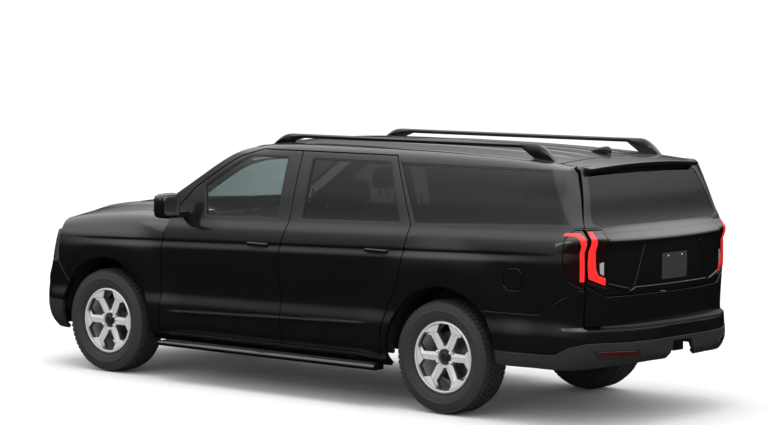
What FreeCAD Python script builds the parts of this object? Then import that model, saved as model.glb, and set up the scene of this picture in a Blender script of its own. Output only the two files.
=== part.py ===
# Full-size long-wheelbase SUV. X points forward, Y to the car's left, Z up, millimetres.
# The origin is on the ground, at the middle of the length and the width.
import FreeCAD, Part
import Sketcher
import math
import os
from FreeCAD import Vector

# Driving dimensions: (name, value, what it is)
SIZES = [
    # Body
    ("overall_length", 5636, "bumper to bumper"),
    ("half_width", 1015, "centre line to the widest point of the wheel arch flare"),
    ("roof_height", 1880, "ground to the roof panel at its middle"),
    ("wheelbase", 3343, "front axle to rear axle"),
    ("front_overhang", 925, "front axle to the bumper face"),
    ("skin", 40, "thickness of the body side and bonnet"),
    ("roof_thick", 26, "thickness of the roof panel"),
    ("wing_thick", 30, "thickness of a wing"),
    ("nose_wall", 46, "thickness of the bumpers, grille and head lamps"),
    ("arch_radius", 500, "radius of the wheel arch opening"),
    ("flare_reach", 860, "radius at which the wheel arch flare fades out"),
    ("flare_lip", 575, "radius of the flare's crest"),
    ("flare_depth", 25, "how far the flare stands out of the body side"),
    ("liner_wall", 10, "thickness of a wheel arch liner"),
    ("liner_skirt", 60, "hub to the lower edge of a wheel arch liner"),
    ("liner_window", 215, "hub to the lower edge of a liner's inner wall"),
    ("sill_height", 372, "ground to a door's bottom edge"),
    ("rocker_height", 300, "ground to the bottom of the body side"),
    ("rocker_depth", 170, "thickness of the rocker below the doors"),
    ("overrun", 40, "how far a cutting solid passes the surface it cuts"),
    ("shut_gap", 7, "gap between two panels"),
    ("gate_gap", 10, "gap between the liftgate and the drop gate"),
    ("seat_gap", 0.3, "gap at a seat or seal"),
    # Glass
    ("glass_thick", 5, "thickness of a side or rear pane"),
    ("glass_inset", 7, "how far a pane lies inside the painted surface"),
    ("screen_thick", 10, "thickness of the windscreen"),
    ("screen_round", 2300, "radius of the windscreen in plan"),
    ("screen_pillar", 105, "width of the windscreen pillar"),
    ("screen_frame", 60, "depth of the windscreen pillar behind the glass"),
    ("frame_border", 62, "width of a door's window frame along the windscreen pillar"),
    # Doors
    ("door_setback", 608, "front axle to the front door's front shut line"),
    ("front_door_length", 1225, "front shut line to the shut line between the doors"),
    ("door_rear_reach", 340, "rear axle to the rear door's rear shut line at the handle's height"),
    ("shut_lean", 45, "how far the front shut line leans back at the belt"),
    ("pillar_front", 78, "shut line to the front window's rear edge"),
    ("pillar_rear", 155, "shut line to the rear window's front edge"),
    ("rear_pane_foot", 75, "rear shut line to the rear window's lower corner"),
    ("rear_pane_top", 265, "rear shut line to the rear window's upper corner"),
    ("quarter_foot", -50, "rear shut line to the quarter window's lower front corner"),
    ("quarter_top", 182, "rear shut line to the quarter window's upper front corner"),
    ("door_rear_top", 228, "rear shut line to the rear door's upper rear corner"),
    ("quarter_rise", 22, "belt to the quarter window's lower rear corner"),
    ("door_thick", 95, "thickness of a whole door below its glass"),
    ("door_skin", 30, "thickness of a door's outer half"),
    ("door_step", 27, "how far a door's inner half stays inside its outer skin's outline"),
    ("frame_thick", 46, "thickness of a door's window frame"),
    ("jamb_depth", 70, "thickness of the pillars and sill inside the doors"),
    ("jamb_width", 130, "width of a pillar inside the doors"),
    ("jamb_lap", 50, "how far a pillar reaches behind a door's rear edge"),
    ("hinge_back", 30, "hinge axis behind a door's front edge"),
    ("hinge_depth", 15, "hinge axis inside the door's widest surface"),
    ("hinge_relief", 39, "radius cleared about a door's hinge axis"),
    ("handle_length", 215, "length of a door handle"),
    ("handle_height", 26, "height of a door handle"),
    ("handle_depth", 15, "thickness of a door handle's bar"),
    ("handle_reach", 20, "how far a door handle's bar stands off the door"),
    ("handle_inset", 235, "front door's rear shut line to the middle of its handle"),
    ("handle_rear_inset", 260, "rear shut line to the middle of the rear door handle"),
    ("handle_climb", 22, "how much higher the rear door handle is"),
    ("mirror_setback", 200, "front shut line to the middle of a door mirror"),
    ("mirror_depth", 96, "mirror housing along the car"),
    ("mirror_width", 210, "mirror housing across the car"),
    ("mirror_height", 190, "mirror housing height"),
    ("mirror_bevel", 30, "bevel round a mirror housing"),
    ("mirror_stand", 8, "body half width to a mirror housing's inner end"),
    ("arm_height", 44, "height of a mirror's arm"),
    ("arm_depth", 66, "length of a mirror's arm along the car"),
    ("arm_reach", 150, "how far a mirror's arm reaches towards the door"),
    # Bonnet, gates and fuel door
    ("bonnet_clear", 30, "windscreen to the bonnet's rear edge"),
    ("bonnet_lap", 60, "width of the ledge on a wing that the bonnet rests on"),
    ("cowl_depth", 60, "height of the cowl under the windscreen"),
    ("wing_setback", 378, "front bumper's face to the front end of a wing"),
    ("gate_hinge_inset", 603, "rear bumper's face to the liftgate's hinge axis"),
    ("gate_hinge_drop", 75, "top of the roof to the liftgate's hinge axis"),
    ("gate_edge", 40, "liftgate hinge axis to the liftgate's front edge"),
    ("gate_wall", 45, "thickness of the liftgate and the drop gate"),
    ("gate_flange", 26, "width of the flange that the liftgate closes against"),
    ("gate_skin", 12, "thickness of the drop gate's outer half"),
    ("gate_step", 34, "how far the drop gate's inner half stays below its top edge"),
    ("spoiler_thick", 34, "thickness of the spoiler at the top of the liftgate"),
    ("spoiler_drop", 72, "how much shorter the spoiler is at its ends"),
    ("lamp_depth", 26, "thickness of the lamps in the liftgate"),
    ("tail_step", 24, "drop gate's lower edge to the rear bumper's step"),
    ("bumper_base", 400, "ground to the rear bumper's lower edge"),
    ("step_depth", 88, "depth of the step on top of the rear bumper"),
    ("arm_size", 70, "height and width of a bumper's arms"),
    ("fuel_side", 150, "side of the square fuel door"),
    ("fuel_thick", 12, "thickness of the fuel door"),
    ("fuel_setback", 625, "rear axle to the middle of the fuel door"),
    ("fuel_bevel", 30, "bevel of the fuel door's corners"),
    # Roof rails and running boards
    ("rail_rise", 32, "top of the roof to the top of a roof rail"),
    ("rail_half", 645, "centre line to the middle of a roof rail"),
    ("rail_width", 42, "width of a roof rail"),
    ("rail_bar", 30, "height of a roof rail's bar"),
    ("rail_front", 360, "shut line between the doors to a roof rail's front end"),
    ("rail_inset", 25, "liftgate's hinge axis to a roof rail's rear end"),
    ("rail_foot", 220, "length of a roof rail's foot"),
    ("fin_length", 190, "length of the roof fin"),
    ("fin_height", 62, "height of the roof fin"),
    ("fin_width", 34, "width of the roof fin"),
    ("fin_inset", 205, "liftgate's hinge axis to the front of the roof fin"),
    ("board_reach", 1066, "centre line to the running board's outer edge"),
    ("board_width", 118, "width of a running board"),
    ("board_thick", 40, "thickness of a running board"),
    ("board_height", 270, "ground to the underside of a running board"),
    ("board_inset", 40, "front shut line to a running board's front end"),
    ("board_clear", 545, "rear axle to a running board's rear end"),
    ("board_bevel", 14, "bevel along a running board's outer edges"),
    ("bracket_width", 60, "width of a running board's bracket"),
    ("bracket_thick", 20, "thickness of a running board's bracket"),
    # Wheels and tyres
    ("track_half", 856, "centre line to the middle of a tyre"),
    ("tyre_radius", 405, "outer radius of the tyre"),
    ("tyre_width", 275, "tyre section width"),
    ("tread_half", 96, "half width of the tyre's flat tread"),
    ("shoulder_drop", 40, "radial height of the tyre's shoulder"),
    ("bead_half", 104, "half width of the tyre at its bead"),
    ("rim_radius", 255, "radius of the rim's bead seat"),
    ("rim_half", 107, "half width of the rim"),
    ("rim_wall", 9, "wall of the rim's barrel"),
    ("hub_sink", 26, "how far the wheel's middle lies behind the rim's face"),
    ("hub_radius", 82, "corner radius of the brake disc's hub"),
    ("spoke_depth", 34, "thickness of the spokes"),
    ("hub_cap", 34, "radius of the centre cap"),
    ("hub_cap_rise", 9, "how far the centre cap stands out"),
    ("lug_circle", 67.5, "radius of the circle of wheel nuts"),
    ("lug_radius", 12, "radius of a wheel nut's corners"),
    ("lug_length", 18, "how far a wheel nut stands out"),
    ("window_inner", 92, "wheel's centre to the inner end of a window"),
    ("window_middle", 172, "wheel's centre to the widest part of a window"),
    ("window_outer", 228, "wheel's centre to the outer end of a window"),
    ("window_narrow", 17, "half width of a window at its inner end"),
    ("window_wide", 66, "half width of a window at its widest"),
    ("window_end", 44, "half width of a window at its outer end"),
    ("disc_radius", 175, "brake disc radius"),
    ("disc_thick", 30, "brake disc thickness"),
    ("disc_back", 24, "spokes to the brake disc"),
    # Suspension
    ("kingpin_half", 800, "centre line to a front wheel's steering axis"),
    ("upright_width", 56, "width of a front upright"),
    ("upright_thick", 40, "thickness of a front upright"),
    ("upright_drop", 120, "hub to the lower ball joint"),
    ("upright_rise", 165, "hub to the upper ball joint"),
    ("arm_thick", 26, "thickness of a suspension arm"),
    ("arm_width", 60, "width of a suspension arm at the upright"),
    ("flange_radius", 62, "corner radius of an axle's flange"),
    ("caliper_width", 80, "width of a brake caliper"),
    ("caliper_height", 170, "height of a brake caliper"),
    ("caliper_back", 205, "hub to a brake caliper's far edge"),
    ("axle_tube", 42, "corner radius of the rear axle's tube"),
    ("axle_case", 130, "corner radius of the rear axle's gear case"),
    ("spring_radius", 38, "corner radius of a rear spring"),
    # Chassis
    ("frame_nose", 258, "front bumper's face to the front end of a chassis rail"),
    ("frame_end", 298, "rear bumper's face to the rear end of a chassis rail"),
    ("frame_half", 430, "centre line to the middle of a chassis rail"),
    ("frame_width", 80, "width of a chassis rail"),
    ("frame_depth", 120, "height of a chassis rail"),
    ("frame_base", 360, "ground to the bottom of a chassis rail"),
    ("frame_kick", 500, "ground to the bottom of a chassis rail over the rear axle"),
    ("frame_tail", 420, "ground to the bottom of a chassis rail behind the rear axle"),
    ("kick_reach", 490, "rear axle to where a chassis rail starts to rise"),
    ("kick_length", 200, "length over which a chassis rail rises"),
    ("kick_back", 570, "rear axle to where a chassis rail has come down again"),
    ("cross_width", 90, "width of a cross member"),
    ("outrigger_half", 730, "centre line to the end of an outrigger"),
    ("floor_height", 560, "ground to the cabin floor's underside"),
    ("cargo_height", 672, "ground to the cargo floor's underside"),
    ("floor_thick", 24, "thickness of the floor pan"),
    ("floor_half", 900, "half width of the floor pan before it is trimmed to the sills"),
    ("cargo_half", 640, "half width of the cargo floor"),
    ("floor_lead", 95, "front shut line to the floor pan's front end"),
    ("cargo_reach", 550, "rear axle to the front of the cargo floor"),
    ("cargo_inset", 218, "rear bumper's face to the cargo floor's rear end"),
    ("firewall_half", 740, "half width of the firewall"),
    ("engine_back", 443, "front axle to the rear of the engine"),
    ("engine_length", 780, "length of the engine"),
    ("engine_width", 600, "width of the engine"),
    ("engine_base", 520, "ground to the bottom of the engine"),
    ("mount_length", 120, "length and height of an engine mount"),
    ("receiver_size", 64, "outside of the hitch receiver tube"),
    ("receiver_wall", 6.5, "wall of the hitch receiver tube"),
    ("receiver_inset", 45, "rear bumper's face to the mouth of the hitch receiver"),
    ("receiver_height", 510, "ground to the middle of the hitch receiver"),
    ("pin_radius", 8, "radius of the hitch pin hole"),
    ("pin_inset", 64, "hitch pin hole from the receiver's mouth"),
    ("notch_half", 120, "half width of the rear bumper's notch for the hitch"),
    ("notch_top", 560, "ground to the top of the rear bumper's notch"),
    # Cabin
    ("seat_width", 520, "width of a single seat"),
    ("bench_width", 1160, "width of the third row seat"),
    ("seat_depth", 520, "depth of a seat cushion"),
    ("seat_cushion", 130, "thickness of a seat cushion"),
    ("head_room", 244, "top of the third row's head restraints to the top of the roof"),
    ("seat_back_thick", 115, "thickness of a seat back"),
    ("seat_half", 390, "centre line to the middle of an outer seat"),
    ("seat_base", 350, "floor to the top of a seat cushion"),
    ("bench_base", 260, "cargo floor to the top of the third row cushion"),
    ("row_first_reach", 500, "shut line between the doors to the middle of the front cushions"),
    ("row_second_reach", 480, "shut line between the doors to the middle of the second row cushions"),
    ("head_width", 260, "width of a head restraint"),
    ("head_height", 170, "height of a head restraint"),
    ("head_thick", 90, "thickness of a head restraint"),
    ("head_gap", 40, "seat back to head restraint"),
    ("post_width", 120, "width of a head restraint's posts"),
    ("post_thick", 16, "thickness of a head restraint's posts"),
    ("dash_half", 730, "half width of the dashboard"),
    ("dash_depth", 340, "floor pan's front end to the dashboard's rear face"),
    ("steer_radius", 190, "corner radius of the steering wheel"),
    ("steer_rim", 30, "thickness of the steering wheel's rim"),
    ("steer_reach", 200, "dashboard's rear face to the middle of the steering wheel"),
    ("column_half", 34, "half thickness of the steering column"),
]
seat_lean_share = 0.2
column_slope_share = 0.215

doc = FreeCAD.newDocument("suv")
sheet = doc.addObject("Spreadsheet::Sheet", "Sizes")
for line, (alias, value, meaning) in enumerate(SIZES, 1):
    sheet.set(f"A{line}", meaning)
    sheet.set(f"B{line}", str(value))
    sheet.setAlias(f"B{line}", alias)
doc.recompute()


class Length:
    """A length as its value and as an expression over the sheet's cells."""

    def __init__(self, value, text=None):
        self.value = float(value)
        self.text = text or str(value)

    def __add__(self, other):
        other = as_length(other)
        return Length(self.value + other.value, f"({self.text} + {other.text})")

    def __sub__(self, other):
        other = as_length(other)
        return Length(self.value - other.value, f"({self.text} - {other.text})")

    def __mul__(self, share):
        return Length(self.value * share, f"({self.text} * {share})")

    def __truediv__(self, share):
        return Length(self.value / share, f"({self.text} / {share})")

    def __neg__(self):
        return Length(-self.value, f"(-1 * {self.text})")


def as_length(size):
    return size if isinstance(size, Length) else Length(size)


class Names:
    """The sheet's cells by name."""


v, c = Names(), Names()
for alias, _, _ in SIZES:
    number = float(getattr(sheet, alias))
    setattr(v, alias, number)
    setattr(c, alias, Length(number, "Sizes." + alias))



def tie(**places):
    """Names places that follow from the sizes."""
    for name, place in places.items():
        setattr(v, name, place.value)
        setattr(c, name, place)


# Places along the car, from its ends, its axles and one another
tie(front=c.overall_length / 2, rear=-(c.overall_length / 2))
tie(front_axle=c.front - c.front_overhang)
tie(rear_axle=c.front_axle - c.wheelbase)
tie(door_front=c.front_axle - c.door_setback, door_rear=c.rear_axle + c.door_rear_reach)
tie(door_middle=c.door_front - c.front_door_length)
tie(handle_front=c.door_middle + c.handle_inset, handle_rear=c.door_rear + c.handle_rear_inset)
tie(mirror_x=c.door_front - c.mirror_setback, wing_end=c.front - c.wing_setback)
tie(gate_hinge_x=c.rear + c.gate_hinge_inset, fuel_x=c.rear_axle - c.fuel_setback)
tie(rail_start=c.door_middle + c.rail_front, rail_end=c.gate_hinge_x + c.rail_inset)
tie(fin_x=c.gate_hinge_x + c.fin_inset, receiver_mouth=c.rear + c.receiver_inset)
tie(board_front=c.door_front - c.board_inset, board_rear=c.rear_axle + c.board_clear)
tie(frame_front=c.front - c.frame_nose, frame_rear=c.rear + c.frame_end)
tie(kick_front=c.rear_axle + c.kick_reach, kick_rear=c.rear_axle - c.kick_back)
tie(floor_front=c.door_front + c.floor_lead, floor_step=c.rear_axle + c.cargo_reach)
tie(floor_rear=c.rear + c.cargo_inset, engine_rear=c.front_axle - c.engine_back)
tie(row_first=c.door_middle + c.row_first_reach, row_second=c.door_middle - c.row_second_reach)
tie(dash_rear=c.floor_front - c.dash_depth)
tie(steer_x=c.dash_rear - c.steer_reach)

# Places above the ground, from the roof
handle_share, mirror_share, fuel_share, tail_foot_share = 0.585, 0.719, 0.532, 0.3724
firewall_share, engine_share, steer_share = 0.638, 0.574, 0.6117
tie(handle_level=c.roof_height * handle_share, mirror_z=c.roof_height * mirror_share)
tie(fuel_z=c.roof_height * fuel_share, tail_foot=c.roof_height * tail_foot_share)
tie(bumper_top=c.tail_foot - c.tail_step, gate_hinge_z=c.roof_height - c.gate_hinge_drop)
tie(rail_top=c.roof_height + c.rail_rise, firewall_top=c.roof_height * firewall_share)
tie(engine_height=c.roof_height * engine_share - c.engine_base, steer_z=c.roof_height * steer_share)
tie(seat_back=c.roof_height - c.head_room - c.head_height - c.head_gap - c.cargo_height - c.floor_thick
    - c.bench_base + c.seat_cushion)

front_x, rear_x, front_axle, rear_axle = v.front, v.rear, v.front_axle, v.rear_axle
LEFT, RIGHT = 1, -1
SIDES = ((LEFT, "left"), (RIGHT, "right"))
PARTS = []


# Body surface. Heights are shares of the roof height, half widths of the half width, stations of half the length.

# Sections of the body side, from the sill to the top of the glass
side_height_shares = [0.159, 0.19, 0.24, 0.311, 0.372, 0.45, 0.553, 0.596, 0.64, 0.683, 0.80, 0.93]
side_width_shares = [0.89, 0.938, 0.964, 0.967, 0.951, 0.962, 0.975, 0.966, 0.950, 0.920, 0.862, 0.786]
# How steeply each of those rows climbs towards the rear
side_climb_shares = [0.0, 0.0, 0.0, 0.012, 0.018, 0.022, 0.03, 0.03, 0.028, 0.026, 0.012, 0.0]
# From the top of the glass to the edge of the roof
cant_rise_shares = [0.5, 0.85, 1.0]
cant_width_shares = [0.765, 0.728, 0.67]
# Wing sections ahead of the door, from the crease to the edge of the bonnet
wing_rise_shares = [0.0, 0.35, 0.65, 0.86, 1.0]
wing_width_shares = [0.966, 0.945, 0.918, 0.877, 0.77]
crease_row, belt_row, glass_row = 7, 9, 11
# Stations of the body side
side_station_shares = [-0.852, -0.77, -0.70, -0.61, -0.51, -0.42, -0.34, -0.26, -0.12, 0.22, 0.36, 0.43, 0.50, 0.58,
                       0.67, 0.76, 0.852, 0.90]
# Plan taper towards nose and tail
plan_station_shares = [-0.90, -0.85, -0.60, 0.0, 0.55, 0.72, 0.82, 0.88, 0.92]
plan_width_shares = [0.985, 1.0, 1.0, 1.0, 1.0, 0.993, 0.98, 0.962, 0.94]
# Top edge of the wing, and crown of the bonnet
bonnet_station_shares = [0.42, 0.57, 0.71, 0.82, 0.90, 0.95, 0.975]
bonnet_edge_shares = [0.680, 0.679, 0.668, 0.647, 0.619, 0.590, 0.565]
bonnet_crown_share = 0.036
# Roof: its centre line, and the height of its edges
roof_station_shares = [-0.90, -0.84, -0.72, -0.60, -0.40, -0.07, 0.035, 0.106, 0.177, 0.213]
roof_line_shares = [0.950, 0.961, 0.978, 0.988, 0.996, 1.0, 0.9989, 0.9936, 0.9814, 0.9713]
roof_crown_share = 0.016
# Windscreen: its centre line from the cowl up into the roof
screen_height_shares = [0.60, 0.690, 0.771, 0.835, 0.904, 0.936, 0.957, 0.971, 0.979, 1.0]
screen_station_shares = [0.635, 0.572, 0.480, 0.409, 0.331, 0.287, 0.247, 0.213, 0.185, 0.12]
# Nose and tail: how far back from the furthest point, by height
nose_height_shares = [0.13, 0.17, 0.21, 0.27, 0.36, 0.42, 0.50, 0.60, 0.64]
nose_back_shares = [0.045, 0.025, 0.008, 0.0, 0.0, 0.012, 0.026, 0.046, 0.060]
tail_height_shares = [0.21, 0.24, 0.29, 0.35, 0.371, 0.45, 0.56, 0.665, 0.685, 0.705, 0.73, 0.84, 0.95]
tail_back_shares = [0.042, 0.030, 0.026, 0.028, 0.030, 0.029, 0.026, 0.027, 0.032, 0.049, 0.068, 0.097, 0.130]
# Nose and tail in plan, by distance from the centre line; the tail is flatter above the belt
round_half_shares = [0.0, 0.25, 0.45, 0.62, 0.77, 0.857, 0.916]
round_back_shares = [0.0, 0.003, 0.011, 0.024, 0.042, 0.055, 0.077]
flat_height_shares = [0.64, 0.685, 0.73]
flat_amount_shares = [1.0, 0.7, 0.3]
corner_station_share = 0.852
corner_half_share = 0.83
corner_pull_share = 0.6
corner_steps, end_steps = 3, 3


def tangents(xs, ys):
    """Slopes of a curve through the points that never overshoots."""
    secants = [(b - a) / (q - p) for p, q, a, b in zip(xs, xs[1:], ys, ys[1:])]
    slopes = [secants[0]]
    for before, after in zip(secants, secants[1:]):
        slopes.append(0 if before * after <= 0 else 2 * before * after / (before + after))
    return slopes + [secants[-1]]


def smooth(xs, ys, x):
    """Height at x of the smooth curve through the points; it runs level beyond its ends."""
    if x <= xs[0]:
        return ys[0]
    if x >= xs[-1]:
        return ys[-1]
    slopes = tangents(xs, ys)
    i = max(k for k in range(len(xs) - 1) if xs[k] <= x)
    step = xs[i + 1] - xs[i]
    t = (x - xs[i]) / step
    return ((1 + 2 * t) * (1 - t) ** 2 * ys[i] + t * (1 - t) ** 2 * step * slopes[i]
            + t * t * (3 - 2 * t) * ys[i + 1] + t * t * (t - 1) * step * slopes[i + 1])


def scaled(shares, size):
    return [share * size for share in shares]


def level(share):
    return share * v.roof_height


def plan_factor(x):
    return smooth(scaled(plan_station_shares, front_x), plan_width_shares, x)


def flare(x, z):
    """How far the wheel arch flare stands out at a point of the body side."""
    out = 0
    for axle in (front_axle, rear_axle):
        r = math.hypot(x - axle, z - v.tyre_radius)
        t = min(1, max(0, (v.flare_reach - r) / (v.flare_reach - v.flare_lip)))
        out = max(out, v.flare_depth * t * t * (3 - 2 * t))
    return out


def bonnet_edge(x):
    return smooth(scaled(bonnet_station_shares, front_x), scaled(bonnet_edge_shares, v.roof_height), x)


def roof_edge(x):
    line = smooth(scaled(roof_station_shares, front_x), scaled(roof_line_shares, v.roof_height), x)
    return line - level(roof_crown_share)


def side_rows(x):
    """Heights and half widths of the body side's section at x."""
    heights = [level(share) - climb * x for share, climb in zip(side_height_shares, side_climb_shares)]
    glass_top = heights[glass_row]
    rise = max(roof_edge(x) - glass_top, level(roof_crown_share))
    heights += [glass_top + share * rise for share in cant_rise_shares]
    return heights, scaled(side_width_shares + cant_width_shares, v.half_width)


def wing_rows(x):
    """Heights and half widths of the wing's section at x."""
    heights, widths = side_rows(x)
    crease, top = heights[crease_row], bonnet_edge(x)
    upper = [crease + share * (top - crease) for share in wing_rise_shares]
    return heights[:crease_row] + upper, widths[:crease_row] + scaled(wing_width_shares, v.half_width)


def side_y(x, z, rows=side_rows):
    """Half width of the body at a station and a height."""
    heights, widths = rows(x)
    return smooth(heights, widths, z) * plan_factor(x) + flare(x, z)


def bonnet_half(x):
    return wing_width_shares[-1] * v.half_width * plan_factor(x)


def bonnet_z(x, y):
    return bonnet_edge(x) + level(bonnet_crown_share) * (1 - (y / bonnet_half(x)) ** 2)


def roof_half(x):
    return cant_width_shares[-1] * v.half_width * plan_factor(x)


def roof_z(x, y):
    return roof_edge(x) + level(roof_crown_share) * (1 - (y / roof_half(x)) ** 2)


def screen_x(y, z):
    line = smooth(scaled(screen_height_shares, v.roof_height), scaled(screen_station_shares, front_x), z)
    return line - y * y / (2 * v.screen_round)


def end_back(y):
    return smooth(scaled(round_half_shares, v.half_width), scaled(round_back_shares, front_x), abs(y))


def nose_x(y, z):
    back = smooth(scaled(nose_height_shares, v.roof_height), scaled(nose_back_shares, front_x), z)
    return front_x - back - end_back(y)


def tail_x(y, z):
    back = smooth(scaled(tail_height_shares, v.roof_height), scaled(tail_back_shares, front_x), z)
    flat = smooth(scaled(flat_height_shares, v.roof_height), flat_amount_shares, z)
    return rear_x + back + flat * end_back(y)


step_fade_shares = [0.55, 0.95]
step_foot_share = 0.5


def bumper_x(y, z):
    """The tail with the rear bumper's step, which fades out towards the corners."""
    fade = smooth(scaled(step_fade_shares, v.half_width), [1, 0], abs(y))
    rise = smooth([v.bumper_top, v.bumper_top + v.shut_gap], [1, 0], z)
    foot = smooth([v.bumper_base, v.bumper_base + v.step_depth], [step_foot_share, 1], z)
    return max(rear_x, tail_x(y, z) - v.step_depth * fade * rise * foot)


# Shape helpers

def stations(low, high, count):
    return [low + (high - low) * i / (count - 1) for i in range(count)]


def spanning(values, low, high):
    """The part of an ascending list that just covers a range."""
    first = max([i for i, value in enumerate(values) if value <= low], default=0)
    last = min([i for i, value in enumerate(values) if value >= high], default=len(values) - 1)
    return values[first:last + 1]


def polygon(points):
    return Part.Face(Part.makePolygon(points + points[:1]))


def wall_between(outer, inner):
    """A closed wall between two grids of points."""
    faces = []

    def patch(a, b, c, d):
        faces.append(polygon([a, b, c]))
        faces.append(polygon([a, c, d]))

    columns, rows = range(len(outer) - 1), range(len(outer[0]) - 1)
    for i in columns:
        for j in rows:
            patch(outer[i][j], outer[i + 1][j], outer[i + 1][j + 1], outer[i][j + 1])
            patch(inner[i][j], inner[i][j + 1], inner[i + 1][j + 1], inner[i + 1][j])
        patch(outer[i][0], inner[i][0], inner[i + 1][0], outer[i + 1][0])
        patch(outer[i][-1], outer[i + 1][-1], inner[i + 1][-1], inner[i][-1])
    for j in rows:
        patch(outer[0][j], outer[0][j + 1], inner[0][j + 1], inner[0][j])
        patch(outer[-1][j], inner[-1][j], inner[-1][j + 1], outer[-1][j + 1])
    shell = Part.makeShell(faces)
    shell.sewShape()
    solid = Part.makeSolid(shell)
    if solid.Volume < 0:
        solid.reverse()
    return solid


def moved(grid, x, y, z):
    shift = Vector(x, y, z)
    return [[point + shift for point in column] for column in grid]


def side_columns(x_low, x_high, rows):
    grid = []
    for x in spanning(scaled(side_station_shares, front_x), x_low, x_high):
        grid.append([Vector(x, side_y(x, z, rows), z) for z in rows(x)[0]])
    return grid


def side_wall(x_low, x_high, near, far, rows=side_rows):
    """The body side about two stations, as a wall from one depth to another."""
    grid = side_columns(x_low, x_high, rows)
    return wall_between(moved(grid, 0, -near, 0), moved(grid, 0, -far, 0))


def corner_plan(end, way, z, rows):
    """Plan of a rounded corner and the nose or tail beside it: points with their inward directions."""
    corner = way * corner_station_share * front_x
    side_z = min(z, level(side_height_shares[glass_row]))
    edge = Vector(corner, side_y(corner, side_z, rows), z)
    before = Vector(corner - way * v.overrun, side_y(corner - way * v.overrun, side_z, rows), z)
    half = corner_half_share * edge.y
    tip = Vector(end(half, z), half, z)
    beyond = Vector(end(half - v.overrun, z), half - v.overrun, z)
    side_way, end_way, gap = edge - before, beyond - tip, tip - edge
    turn = side_way.x * end_way.y - side_way.y * end_way.x
    meet = edge + side_way * ((gap.x * end_way.y - gap.y * end_way.x) / turn)
    first = edge + (meet - edge) * corner_pull_share
    last = tip + (meet - tip) * corner_pull_share
    points = []
    for i in range(corner_steps):
        t = i / corner_steps
        points.append(edge * (1 - t) ** 3 + first * (3 * t * (1 - t) ** 2) + last * (3 * t * t * (1 - t)) + tip * t ** 3)
    points += [Vector(end(y, z), y, z) for y in stations(half, 0, end_steps + 1)]
    inward = [Vector(0, -1, 0)]
    for a, b in zip(points, points[2:]):
        along = (b - a).normalize()
        inward.append(Vector(along.y, -along.x, 0) * way)
    inward.append(Vector(-way, 0, 0))
    return points, inward


def wrapped_grid(side_grid, end, way, heights, depth, rows, whole=False):
    """A grid at a depth from the body side round a corner to the centre line, or on to the other side."""
    plans = [corner_plan(end, way, z, rows) for z in heights]
    columns = [[point + Vector(0, -depth, 0) for point in column] for column in side_grid]
    columns += [[points[i] + inward[i] * depth for points, inward in plans] for i in range(len(plans[0][0]))]
    if whole:
        columns += [[Vector(p.x, -p.y, p.z) for p in column] for column in reversed(columns[:-1])]
    return columns


def wrapped_wall(side_grid, end, way, heights, near, far, rows, whole=False):
    outer = wrapped_grid(side_grid, end, way, heights, near, rows, whole)
    return wall_between(outer, wrapped_grid(side_grid, end, way, heights, far, rows, whole))


end_level_shares = [0.155, 0.21, 0.31, 0.371, 0.45, 0.55, 0.625, 0.665, 0.685, 0.705, 0.73, 0.83, 0.955]


def end_grid(end, way, x_start, z_low, z_high, depth, rows=side_rows):
    """The nose or tail with both its corners, between two heights."""
    heights = spanning(scaled(end_level_shares, v.roof_height), z_low, z_high)
    corner = corner_station_share * front_x
    xs = [x for x in scaled(side_station_shares, front_x) if x_start <= way * x < corner - v.overrun]
    xs = sorted(xs, key=lambda x: way * x)
    side_grid = [[Vector(x, side_y(x, z, rows), z) for z in heights] for x in xs]
    return wrapped_grid(side_grid, end, way, heights, depth, rows, True)


def prism_xz(points, y_low, y_high):
    """An outline in the side view, as (x, z) pairs, extruded across the car."""
    return polygon([Vector(x, y_low, z) for x, z in points]).extrude(Vector(0, y_high - y_low, 0))


def prism_yz(points, x_low, x_high):
    return polygon([Vector(x_low, y, z) for y, z in points]).extrude(Vector(x_high - x_low, 0, 0))


def prism_xy(points, z_low, z_high):
    return polygon([Vector(x, y, z_low) for x, y in points]).extrude(Vector(0, 0, z_high - z_low))


def block(x_low, x_high, y_low, y_high, z_low, z_high):
    return Part.makeBox(x_high - x_low, y_high - y_low, z_high - z_low, Vector(x_low, y_low, z_low))


def grown(points, distance):
    """A closed outline moved outwards by a distance, or inwards by a negative one."""
    corners = []
    area = sum(a[0] * b[1] - b[0] * a[1] for a, b in zip(points, points[1:] + points[:1]))
    turn = 1 if area > 0 else -1
    for i, here in enumerate(points):
        before, after = points[i - 1], points[(i + 1) % len(points)]
        normals = []
        for a, b in ((before, here), (here, after)):
            length = math.hypot(b[0] - a[0], b[1] - a[1])
            normals.append((turn * (b[1] - a[1]) / length, turn * (a[0] - b[0]) / length))
        (ax, ay), (bx, by) = normals
        scale = distance / (1 + ax * bx + ay * by)
        corners.append((here[0] + (ax + bx) * scale, here[1] + (ay + by) * scale))
    return corners


def bevelled(x_low, x_high, y_low, y_high, bevel):
    """A rectangle with cut corners."""
    return [(x_low + bevel, y_low), (x_high - bevel, y_low), (x_high, y_low + bevel), (x_high, y_high - bevel),
            (x_high - bevel, y_high), (x_low + bevel, y_high), (x_low, y_high - bevel), (x_low, y_low + bevel)]


def ring_points(radius, x, z, count, first=0.5):
    """Corners of a regular polygon."""
    turn = 2 * math.pi / count
    return [(x + radius * math.cos((i + first) * turn), z + radius * math.sin((i + first) * turn))
            for i in range(count)]


def mirrored(shape):
    return shape.mirror(Vector(0, 0, 0), Vector(0, 1, 0))


def handed(shape, side):
    return shape if side == LEFT else mirrored(shape)


def main_solid(shape):
    """The largest solid of a shape, with its coplanar facets joined."""
    return max(shape.Solids, key=lambda solid: solid.Volume).removeSplitter()


# Document helpers

def bind(feature, **sizes):
    """Holds a feature's properties by expressions over the sheet's cells."""
    for name, size in sizes.items():
        feature.setExpression(name.replace("__", "."), as_length(size).text)
    return feature


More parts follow.
